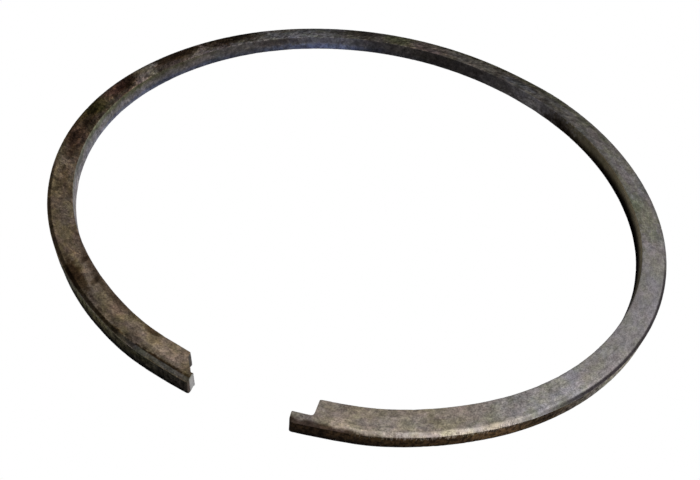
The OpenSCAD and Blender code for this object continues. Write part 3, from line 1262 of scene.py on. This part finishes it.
        Stain(Deposit.BURNT_OIL, 165, 0.9, 6, ALL_ACROSS, 0.25),
        Stain(Deposit.GREY_HAZE, -166, 1.0, 20, ALL_ACROSS, 0.8, softness=0.85, rag=0.6),
        # Darker towards the bottom of the running face on the -X side: soot with painted contact shade
        Stain(Deposit.SOOT_AND_PAINTED_SHADE, -158, 0.0, 28, 1.9, softness=0.85),
        Stain(Deposit.SOOT_AND_PAINTED_SHADE, -158, 0.0, 26, 1.0, softness=0.8),
        Stain(Deposit.SOOT_AND_PAINTED_SHADE, -173, 1.0, 7, ALL_ACROSS, 0.7),
        Stain(Deposit.SOOT_AND_PAINTED_SHADE, -167, 1.2, 4.5, ALL_ACROSS, 0.5, rag=1.2),
        # Darker towards the bottom near the -X end: soot with painted contact shade
        Stain(Deposit.SOOT_AND_PAINTED_SHADE, -166, 0.0, 14, 0.9, softness=0.8),
        Stain(Deposit.OLIVE_HAZE, -156, 1.2, 15, ALL_ACROSS, 0.9),
        Stain(Deposit.RUBBED_CLEAN_AND_PAINTED_REFLECTION, -154, 1.7, 9, 0.9),
        Stain(Deposit.WARM_HAZE, -156, 1.4, 12, 1.2, 0.8),
        Stain(Deposit.SOOT_AND_PAINTED_SHADE, 135.5, 1.2, 2.6, 1.2, 0.6),
        Stain(Deposit.SOOT_AND_PAINTED_SHADE, 171, 1.0, 6, ALL_ACROSS, 0.65),
        Stain(Deposit.BURNT_OIL, -40, 0.9, 22, 1.5, 0.7, rag=1.4),
        Stain(Deposit.BURNT_OIL, 35, 1.1, 16, 1.2, 0.6, rag=1.4),
    ),
    Face.INNER: (
        # The inner face is sooty from the back round to the +X side, most of all along its lower half
        Stain(Deposit.GREY_HAZE, -28, 1.0, 64, ALL_ACROSS, 0.95, softness=0.45, rag=0.2),
        Stain(Deposit.RUBBED_CLEAN_AND_PAINTED_REFLECTION, -62, 1.2, 9, 1.6, 0.6),
        Stain(Deposit.GREY_HAZE, 10, 1.0, 20, ALL_ACROSS, 0.85, softness=0.5),
        Stain(Deposit.BURNT_OIL, -12, 1.0, 11, ALL_ACROSS, 0.6, softness=0.9),
        Stain(Deposit.SOOT_AND_PAINTED_SHADE, 0, 0.8, 20, 2.4, 0.3, softness=0.9),
        Stain(Deposit.GREY_HAZE, 25, 1.0, 8, ALL_ACROSS, 0.15),
        Stain(Deposit.TAN_VARNISH, 68, 1.2, 40, ALL_ACROSS, softness=0.4),
        Stain(Deposit.GREY_HAZE, 42, 1.2, 16, ALL_ACROSS, 0.35),
        Stain(Deposit.RUBBED_CLEAN_AND_PAINTED_REFLECTION, 74, 1.9, 36, 0.75, 0.9, softness=0.9, rag=0.5),
        Stain(Deposit.SOOT_AND_PAINTED_SHADE, 77, 0.1, 56, 1.45, softness=0.7, rag=0.4),
        Stain(Deposit.GREY_HAZE, 76, 0.1, 56, 1.5, softness=0.7, rag=0.4),
        Stain(Deposit.SOOT_AND_PAINTED_SHADE, 77, 0.0, 52, 1.45, softness=0.9, rag=0.4),
        Stain(Deposit.SOOT_AND_PAINTED_SHADE, 77, 0.0, 50, 1.3, softness=0.9, rag=0.4),
        Stain(Deposit.SOOT_AND_PAINTED_SHADE, 37.5, 0.4, 8, 1.7, 0.95, softness=0.85),
        Stain(Deposit.SOOT_AND_PAINTED_SHADE, 34, 1.2, 7, 1.6, 0.6, softness=0.85),
        Stain(Deposit.GREY_HAZE, 101, 1.0, 14, ALL_ACROSS, 0.7),
        # Bluer towards the bottom of the inner face: a haze with the floor's reflection painted in
        Stain(Deposit.BLUE_HAZE_AND_PAINTED_REFLECTION, -40, 0.1, 62, 1.1),
        Stain(Deposit.BLUE_HAZE_AND_PAINTED_REFLECTION, -27, 0.2, 18, 1.2),
        Stain(Deposit.BLUE_HAZE_AND_PAINTED_REFLECTION, -72, 0.0, 48, 0.9),
        Stain(Deposit.TAN_VARNISH, -72, 1.9, 34, 1.0, 0.6, softness=0.9),
        Stain(Deposit.BLUE_HAZE_AND_PAINTED_REFLECTION, -22, 1.0, 19, 1.8),
        Stain(Deposit.RUBBED_CLEAN_AND_PAINTED_REFLECTION, -24, 1.0, 12, 1.6, 0.75),
        Stain(Deposit.GREY_HAZE, -86, 1.0, 9, ALL_ACROSS, 0.3),
        # Lighter towards the bottom of the inner face: the floor's reflection painted in, with rubbed metal
        Stain(Deposit.RUBBED_CLEAN_AND_PAINTED_REFLECTION, -28, 0.4, 15, 1.0, rag=1.0),
        Stain(Deposit.RUBBED_CLEAN_AND_PAINTED_REFLECTION, -90, 0.1, 46, 0.45, 0.6, softness=0.9),
        Stain(Deposit.RUBBED_CLEAN_AND_PAINTED_REFLECTION, -124, 0.7, 14, 1.6, 0.8),
        Stain(Deposit.OLIVE_HAZE, -92, 2.0, 48, 1.2, softness=0.9),
        Stain(Deposit.SOOT_AND_PAINTED_SHADE, -39, 1.5, 7, 0.8, 0.5, rag=1.4),
    ),
    Face.CUT: (
        # The ends are scraped bright, but for the rounded corner and the foot of the notch's shoulder
        Stain(Deposit.SOOT_AND_PAINTED_SHADE, -172, 0.0, 4, 0.34, softness=0.25, rag=0.3),
        Stain(Deposit.GREY_HAZE, -170, 2.0, 4, 0.9),
        Stain(Deposit.SOOT_AND_PAINTED_SHADE, -170, 2.1, 4, 0.8, 0.5),
        Stain(Deposit.SOOT_AND_PAINTED_SHADE, 171, 1.0, 4, ALL_ACROSS, 0.8),
    ),
}

# What each pattern lays down on the burnt stretch, and how much of it
MOTTLING: dict[Pattern, tuple[Deposit, float]] = {
    Pattern.DARK_BLOTS: (Deposit.SOOT_AND_PAINTED_SHADE, 0.6),
    Pattern.CLEAN_BLOTS: (Deposit.RUBBED_CLEAN_AND_PAINTED_REFLECTION, 1.0),
    Pattern.DARK_FLECKS: (Deposit.SOOT_AND_PAINTED_SHADE, 0.5),
    Pattern.CLEAN_FLECKS: (Deposit.RUBBED_CLEAN_AND_PAINTED_REFLECTION, 0.7),
}


@dataclass(frozen=True)
class Band:
    """A stretch of the ring between two turns in degrees, which fades out inside both."""

    start: float
    end: float
    fade: float


@dataclass(frozen=True)
class Ramp:
    """A change along the ring, from one value at a turn in degrees to another at a later turn."""

    start: float
    end: float
    at_start: float = 0.0
    at_end: float = 1.0


@dataclass(frozen=True)
class Strip:
    """A strip along an edge, by the distance across it in millimetres.

    The distance is above 0 on the upper face and below 0 on the wall. The strip comes up from `low` to `full`,
    and dies away from `fading` to `high`.
    """

    low: Input
    full: Input
    fading: float
    high: float


@dataclass(frozen=True)
class Unevenness:
    """How uneven the iron's tones are round the ring, and where its burnt stretch is mottled."""

    left: Ramp = Ramp(-120.0, 45.0, 1.15, 0.55)
    right: Ramp = Ramp(100.0, 145.0, 0.0, 0.3)
    middle: Band = Band(34.0, 94.0, 14.0)
    middle_more: float = 0.32
    on_cut: float = 0.4
    inner_share: float = 0.58
    mottled: Band = Band(-150.0, 62.0, 34.0)
    inner_mottling: float = 0.6


@dataclass(frozen=True)
class EdgeWearAndPaintedLight:
    """How the running face and the two upper edges are worn and dirtied, and where highlights, a glint and
    contact shade are painted on them.

    Each `patchy` pair is how much of a mark is left where the patches are away, and where they are full.
    """

    # The dark line above the bevel on the +X side
    dark_line: Strip = Strip(-0.04, 0.04, 0.2, 0.38)
    dark: Band = Band(78.0, 141.0, 12.0)
    # The bevel on the -X side, hazed and burnt, and scraped towards its end
    bevel: Strip = Strip(0.0, 0.1, 0.35, 0.47)
    hazed: Ramp = Ramp(-122.0, -110.0, 1.0, 0.0)
    patchy_haze: tuple[float, float] = (1.0, 0.8)
    burnt: float = 0.55
    scraped: Ramp = Ramp(-165.0, -157.0, 1.0, 0.0)
    patchy_scrapes: tuple[float, float] = (0.3, 0.9)
    # The bevel near the +X end, rubbed bare and brightened into a painted highlight, and the streaks that run
    # down from it
    rubbed: Band = Band(134.0, 168.0, 11.0)
    patchy_rub_and_highlight: tuple[float, float] = (0.6, 1.0)
    streaks_from: float = 0.34
    streaks_to: float = -0.66
    streak_fade: float = 0.14
    rub_highlight_fading: float = 0.25
    rub_highlight_high: float = 0.75
    inset: Ramp = Ramp(152.0, 173.0, 0.0, 0.34)
    # The soot that creeps over the bevel at the +X end
    creep: Ramp = Ramp(152.0, 173.0, -0.3, 0.5)
    creep_rag: float = 0.24
    creep_low: float = -0.24
    creep_high: float = 0.18
    # The running face: soot and painted contact shade at its foot, streaks and runs all over it, and its scraped
    # upper edge at the -X end with a painted glint
    foot_full: float = 0.05
    foot_high: float = 0.4
    streaked: float = 0.5
    runs: float = 0.6
    arris: Strip = Strip(-0.12, -0.02, 0.0, 0.1)
    glint: Band = Band(-168.0, -143.0, 6.0)
    # The upper inner edge, rubbed on both sides of the gap, with a faint painted highlight
    inner: Strip = Strip(-0.1, 0.0, 0.02, 0.14)
    inner_right: Ramp = Ramp(75.0, 100.0)
    inner_left: Ramp = Ramp(-95.0, -70.0, 1.0, 0.0)
    inner_rub_and_highlight: float = 0.22


class Surface:
    """The ring's surface as its nodes build it up: its place, and its colour, roughness and metalness so far."""

    CRISPNESS = 0.02
    OUTER_HALF = 0.3

    def __init__(self, sheet: NodeSheet, effects: Effects, section: Section, finish: Finish) -> None:
        """Starts from bare metal.

        Args:
            sheet: The material's sheet.
            effects: The shared groups.
            section: The ring's cross-section.
            finish: The metal to start from.
        """
        self.sheet = sheet
        self.effects = effects
        self.lay = sheet.add("Attribute", attribute_name="lay").outputs["Vector"]
        # With the parts before the faces, Cycles finds no room on its stack for this many stains
        self.faces = sheet.use(effects.faces, Lay=self.lay, Wall=section.wall / MM, Height=section.height / MM,
                               Crispness=self.CRISPNESS).outputs
        self.along, self.depth, self.height = sheet.parts(self.lay)
        self.past_outer = self.faces["From Outer Edge"]
        self.past_inner = self.faces["From Inner Edge"]
        self.outer_half = sheet.remap(self.past_inner, 0.0, self.OUTER_HALF)
        self.on_edge = sheet.times(sheet.rest_of(self.faces["Cut"]), self.outer_half)
        self.patterns: dict[Pattern, bpy.types.NodeSocket] = {}
        metal = finish.value
        self.state: dict[str, Input] = dict(zip(SURFACE, (metal.colour, metal.roughness, metal.metallic)))

    def pattern(self, kind: Pattern) -> bpy.types.NodeSocket:
        """Returns the mask of a pattern, which is built once."""
        if kind not in self.patterns:
            self.patterns[kind] = self.effects.pattern(self.sheet, self.lay, kind)
        return self.patterns[kind]

    def strip(self, across: Input, strip: Strip) -> Input:
        """Returns the mask of a strip along an edge."""
        rising = self.sheet.remap(across, strip.low, strip.full)
        return self.sheet.times(rising, self.sheet.remap(across, strip.fading, strip.high, 1.0, 0.0))

    def passed(self, group: bpy.types.NodeTree, **inputs: Input) -> bpy.types.Node:
        """Passes the surface through a group and returns the group's node."""
        node = self.sheet.use(group, **self.state, **inputs)
        self.state = {name: node.outputs[name] for name in SURFACE}
        return node

    def filmed(self, deposit: Deposit, *shares: Input) -> None:
        """Lays a film over the surface, as thick as the product of some shares."""
        film = deposit.value
        self.passed(self.effects.film, Tint=film.tint, Film_Roughness=film.roughness, Dulling=film.dulling,
                    Amount=self.sheet.times(*shares))

    def bared(self, finish: Finish, *shares: Input) -> None:
        """Lets bare metal take over, as much as the product of some shares."""
        metal = finish.value
        self.passed(self.effects.metal, New_Color=metal.colour, New_Roughness=metal.roughness,
                    New_Metallic=metal.metallic, Mask=self.sheet.times(*shares))


class IronSkin:
    """The one material of the ring."""

    SPECULAR = 0.03
    BUMP_STRENGTH = 0.5
    BUMP_DISTANCE = 0.015 * MM
    # The last turn, in degrees, that a stain can reach and still be measured along the ring on both sides
    LAST_TURN = 170.0

    def __init__(self, shape: FreeShape, section: Section, edges: EdgeWearAndPaintedLight, unevenness: Unevenness) -> None:
        """Builds the shared groups, and starts the material from the bare metal of the side faces.

        Args:
            shape: The ring's free shape.
            section: Its cross-section.
            edges: How its edges are worn, and where highlights and shade are painted on them.
            unevenness: How uneven its tones are.
        """
        self.shape = shape
        self.edges = edges
        self.unevenness = unevenness
        self.effects = Effects()
        self.material = bpy.data.materials.new("worn_cast_iron_and_painted_light")
        self.material.use_nodes = True
        self.material.node_tree.nodes.clear()
        self.sheet = NodeSheet(self.material.node_tree)
        self.surface = Surface(self.sheet, self.effects, section, Finish.SIDE_FACE)

    def build(self) -> bpy.types.Material:
        """Adds everything that lies on the metal.

        Returns:
            The finished material.
        """
        sheet, surface = self.sheet, self.surface
        bare = {"Outer": Finish.RUNNING_FACE, "Inner": Finish.INNER_FACE, "Cut": Finish.CUT_END}
        for mask, finish in bare.items():
            surface.bared(finish, surface.faces[mask])
        self._add_stains()
        self._add_mottling()
        self._darken_and_dirty_bevel()
        self._rub_and_highlight_bevel()
        self._creep_soot()
        self._soil_shade_and_glint_running_face()
        self._rub_and_highlight_inner_edge()
        strength = self._strength()
        relief = surface.passed(self.effects.tones, Lay=surface.lay, Strength=strength).outputs["Bump Height"]

        bump = sheet.feed_named(sheet.add("Bump"), Strength=self.BUMP_STRENGTH, Distance=self.BUMP_DISTANCE,
                                Height=relief)
        shader = sheet.feed_named(
            sheet.add("BsdfPrincipled"), Base_Color=surface.state["Color"], Roughness=surface.state["Roughness"],
            Metallic=surface.state["Metallic"], Specular_IOR_Level=self.SPECULAR, Normal=bump.outputs[0])
        sheet.add("OutputMaterial", shader.outputs[0])
        return self.material

    def _along(self, turn: float) -> float:
        """Returns the place of a turn, in degrees, along the ring in millimetres."""
        return self.shape.along_at(math.radians(turn)) / MM

    def _end_length(self, reach: float) -> float:
        """Returns the length in millimetres of some degrees of the ring's ends."""
        return math.radians(reach) * self.shape.end_bend.radius / MM

    def _band(self, band: Band) -> Input:
        """Finds the mask of a stretch of the ring.

        Args:
            band: The stretch.

        Returns:
            Its mask.
        """
        start, end, edge = self._along(band.start), self._along(band.end), self._end_length(band.fade)
        along = self.surface.along
        rise = self.sheet.remap(along, start, start + edge)
        return self.sheet.times(rise, self.sheet.remap(along, end - edge, end, 1.0, 0.0))

    def _ramp(self, ramp: Ramp) -> Input:
        """Returns a ramp's value along the ring."""
        start, end = self._along(ramp.start), self._along(ramp.end)
        return self.sheet.remap(self.surface.along, start, end, ramp.at_start, ramp.at_end)

    def _strength(self) -> Input:
        """Works out how strong the uneven tones are.

        Returns:
            Their strength, which is least on the +X side and on the inner face.
        """
        sheet, surface, wear = self.sheet, self.surface, self.unevenness
        left = sheet.math("MULTIPLY_ADD", self._band(wear.middle), wear.middle_more, self._ramp(wear.left))
        strength = sheet.math("ADD", left, self._ramp(wear.right))
        return sheet.times(sheet.lerp(surface.faces["Cut"], strength, wear.on_cut),
                           sheet.lerp(surface.faces["Inner"], 1.0, wear.inner_share))

    def _add_stains(self) -> None:
        """Lays every stain on its face."""
        sheet, surface = self.sheet, self.surface
        for face, stains in STAINS.items():
            mask, across, seed = face.value
            chart = sheet.joined(surface.along, getattr(surface, across), seed)
            for stain in stains:
                length = (self._along(stain.turn + stain.reach) - self._along(stain.turn - stain.reach)) / 2
                if abs(stain.turn) + stain.reach > self.LAST_TURN:
                    length = self._end_length(stain.reach)
                film = stain.deposit.value
                surface.passed(
                    self.effects.stain, Chart=chart, Tint=film.tint, Film_Roughness=film.roughness,
                    Dulling=film.dulling, Middle=self._along(stain.turn), Level=stain.level, Length=length,
                    Width=stain.width, Lean=stain.lean, Softness=stain.softness, Rag=stain.rag,
                    Amount=sheet.times(surface.faces[mask], stain.amount),
                )

    def _add_mottling(self) -> None:
        """Breaks up the burnt stretch of the ring with slanting dark and clean blotches."""
        sheet, surface, wear = self.sheet, self.surface, self.unevenness
        burnt = self._band(wear.mottled)
        on_inner = sheet.lerp(surface.faces["Inner"], 1.0, wear.inner_mottling)
        uncut = sheet.math("SUBTRACT", on_inner, surface.faces["Cut"])
        for pattern, (deposit, amount) in MOTTLING.items():
            surface.filmed(deposit, surface.pattern(pattern), burnt, uncut, amount)

    def _darken_and_dirty_bevel(self) -> None:
        """Draws the dark line above the bevel on the +X side, and hazes, scrapes and burns it on the -X side."""
        sheet, surface, edges = self.sheet, self.surface, self.edges
        patches = surface.pattern(Pattern.PATCHES)
        # Darker along the upper edge of the bevel on the +X side
        surface.filmed(Deposit.DARK_EDGE_LINE, surface.strip(surface.past_outer, edges.dark_line), surface.on_edge,
                       self._band(edges.dark))
        bevel = sheet.times(surface.strip(surface.past_outer, edges.bevel), surface.on_edge)
        hazed = sheet.times(bevel, self._ramp(edges.hazed))
        surface.filmed(Deposit.GREY_HAZE, hazed, sheet.lerp(patches, *edges.patchy_haze))
        scraped = self._ramp(edges.scraped)
        surface.bared(Finish.SCRAPED_BEVEL_AND_GLINT, bevel, scraped, sheet.lerp(patches, *edges.patchy_scrapes))
        surface.filmed(Deposit.BURNT_OIL, hazed, sheet.rest_of(scraped), edges.burnt)

    def _rub_and_highlight_bevel(self) -> None:
        """Rubs the bevel bare near the +X end and paints a highlight on it, with streaks down the running face.
        """
        sheet, surface, edges = self.sheet, self.surface, self.edges
        # Bare rubbed metal, brightened into a painted highlight where the lamp's reflection falls on the bevel
        from_band = sheet.math("SUBTRACT", surface.past_outer, self._ramp(edges.inset))
        lowest = sheet.lerp(surface.pattern(Pattern.STREAKS), edges.streaks_from, edges.streaks_to)
        below = sheet.math("SUBTRACT", lowest, edges.streak_fade)
        rubbed = surface.strip(from_band, Strip(below, lowest, edges.rub_highlight_fading, edges.rub_highlight_high))
        surface.bared(Finish.RUBBED_EDGE_AND_HIGHLIGHT, rubbed, self._band(edges.rubbed), surface.on_edge,
                      sheet.lerp(surface.pattern(Pattern.PATCHES), *edges.patchy_rub_and_highlight))

    def _creep_soot(self) -> None:
        """Lets soot creep over the bevel at the +X end, with a ragged front."""
        sheet, surface, edges = self.sheet, self.surface, self.edges
        off_middle = sheet.math("SUBTRACT", surface.pattern(Pattern.PATCHES), 0.5)
        front = sheet.math("MULTIPLY_ADD", off_middle, edges.creep_rag, self._ramp(edges.creep))
        past_front = sheet.math("SUBTRACT", surface.past_outer, front)
        behind = sheet.remap(past_front, edges.creep_low, edges.creep_high, 1.0, 0.0)
        surface.filmed(Deposit.SOOT_AND_PAINTED_SHADE, surface.faces["Top"], behind, surface.outer_half)

    def _soil_shade_and_glint_running_face(self) -> None:
        """Soils the running face and paints contact shade at its foot, and scrapes its upper edge at the -X end
        and paints a glint along it.
        """
        sheet, surface, edges = self.sheet, self.surface, self.edges
        face = surface.faces["Outer"]
        runs = surface.pattern(Pattern.RUNS)
        foot = sheet.remap(surface.height, edges.foot_full, edges.foot_high, 1.0, 0.0)
        # Painted contact shade: soot that darkens the foot of the running face all round the ring
        surface.filmed(Deposit.SOOT_AND_PAINTED_SHADE, face, foot)
        surface.filmed(Deposit.BURNT_OIL, face, surface.pattern(Pattern.STREAKS), edges.streaked)
        surface.filmed(Deposit.SOOT_AND_PAINTED_SHADE, face, runs, edges.runs)
        surface.filmed(Deposit.RUBBED_CLEAN_AND_PAINTED_REFLECTION, face, sheet.rest_of(runs))
        # A painted glint along the upper edge at the -X end, on scraped metal
        surface.bared(Finish.SCRAPED_BEVEL_AND_GLINT, surface.strip(surface.past_outer, edges.arris),
                      self._band(edges.glint), surface.pattern(Pattern.PATCHES), surface.on_edge)

    def _rub_and_highlight_inner_edge(self) -> None:
        """Rubs the upper inner edge a little on both sides of the gap, which paints a faint highlight along it.
        """
        surface, edges = self.surface, self.edges
        sides = self.sheet.math("ADD", self._ramp(edges.inner_right), self._ramp(edges.inner_left))
        # Rubbed metal along the upper inner edge, as a faint painted highlight
        surface.bared(Finish.RUBBED_EDGE_AND_HIGHLIGHT, surface.strip(surface.past_inner, edges.inner),
                      surface.pattern(Pattern.RUBS), sides, edges.inner_rub_and_highlight)


# ---------------------------------------------------------------- the studio


def towards(bearing: float, elevation: float) -> Vector:
    """Returns the direction at a bearing, from -Y towards +X, and an elevation, both in degrees."""
    turn, rise = math.radians(bearing), math.radians(elevation)
    return Vector((math.sin(turn) * math.cos(rise), -math.cos(turn) * math.cos(rise), math.sin(rise)))


def placed(name: str, data: bpy.types.ID) -> bpy.types.Object:
    """Makes an object and links it to the scene."""
    made = bpy.data.objects.new(name, data)
    bpy.context.scene.collection.objects.link(made)
    return made


@dataclass
class Softbox:
    """A round soft lamp that faces the ring, at a bearing and an elevation in degrees."""

    name: str
    bearing: float
    elevation: float
    distance: float
    width: float
    power: float

    def build(self) -> bpy.types.Object:
        """Makes the lamp and returns its object, turned to the ring."""
        lamp = bpy.data.lights.new(self.name, "AREA")
        lamp.shape = "DISK"
        lamp.size = self.width
        lamp.energy = self.power
        away = towards(self.bearing, self.elevation)
        holder = placed(self.name, lamp)
        holder.location = away * self.distance
        holder.rotation_euler = (-away).to_track_quat("-Z", "Y").to_euler()
        return holder


@dataclass
class Viewpoint:
    """The camera: close above the gap, a little to its right, and tilted."""

    azimuth: float = 15.0
    elevation: float = 46.58
    roll: float = 7.02
    distance: float = 78.97 * MM
    aim: Vector = field(default_factory=lambda: Vector((1.84, -8.40, 0.0)) * MM)
    lens: float = 36.45
    nearest: float = 1 * MM
    farthest: float = 10.0

    def build(self) -> bpy.types.Object:
        """Makes the camera, gives it to the scene and returns its object."""
        back = towards(self.azimuth, self.elevation)
        optics = bpy.data.cameras.new("camera")
        optics.lens = self.lens
        optics.clip_start = self.nearest
        optics.clip_end = self.farthest
        camera = placed("camera", optics)
        camera.location = self.aim + back * self.distance
        level = (-back).to_track_quat("-Z", "Y")
        camera.rotation_euler = (level @ Quaternion((0, 0, 1), math.radians(self.roll))).to_euler()
        bpy.context.scene.camera = camera
        return camera


@dataclass
class Studio:
    """The pale floor, the air round it and the lamps."""

    floor_width: float = 4.0
    floor_colour: Colour = (0.4, 0.4, 0.4)
    white: Colour = (1.0, 1.0, 1.0)
    air_strength: float = 0.1
    lamps: Sequence[Softbox] = (
        Softbox("key_lamp", bearing=70.0, elevation=59.0, distance=0.25, width=0.13, power=0.5),
    )

    def build(self) -> None:
        """Makes the floor, the air and the lamps."""
        self._floor()
        self._air()
        for lamp in self.lamps:
            lamp.build()

    def _white_to_camera(self, sheet: NodeSheet, real: bpy.types.Node, white: bpy.types.Node) -> Input:
        """Shows a white shader to the camera and the real one to everything else."""
        by_camera = sheet.add("LightPath").outputs["Is Camera Ray"]
        return sheet.add("MixShader", by_camera, real.outputs[0], white.outputs[0]).outputs[0]

    def _floor(self) -> None:
        """Makes the floor, which looks as white as paper and lights the ring from below."""
        bm = bmesh.new()
        bmesh.ops.create_grid(bm, x_segments=1, y_segments=1, size=self.floor_width / 2)
        mesh = bpy.data.meshes.new("floor")
        bm.to_mesh(mesh)
        bm.free()
        floor = placed("floor", mesh)
        material = bpy.data.materials.new("pale_paper")
        material.use_nodes = True
        material.node_tree.nodes.clear()
        sheet = NodeSheet(material.node_tree)
        matt = sheet.add("BsdfDiffuse", self.floor_colour)
        sheet.add("OutputMaterial", self._white_to_camera(sheet, matt, sheet.add("Emission")))
        mesh.materials.append(material)

    def _air(self) -> None:
        """Fills the room with faint even light."""
        world = bpy.data.worlds.new("air")
        world.use_nodes = True
        world.node_tree.nodes.clear()
        sheet = NodeSheet(world.node_tree)
        faint = sheet.add("Background", self.white, self.air_strength)
        sheet.add("OutputWorld", self._white_to_camera(sheet, faint, sheet.add("Background", self.white, 1.0)))
        bpy.context.scene.world = world


def main() -> None:
    logging.basicConfig(level=logging.INFO, format="%(name)s: %(message)s")
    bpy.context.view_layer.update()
    bpy.context.scene.view_settings.view_transform = "Standard"

    body = RingBody()
    ring = body.build()
    ring.data.materials.append(IronSkin(body.shape, body.section, EdgeWearAndPaintedLight(), Unevenness()).build())
    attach(ring, BODY)
    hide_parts(NODE)
    LOG.info("ring: %d vertices, %d faces", len(ring.data.vertices), len(ring.data.polygons))

    Studio().build()
    Viewpoint().build()


if __name__ == "__main__":
    main()
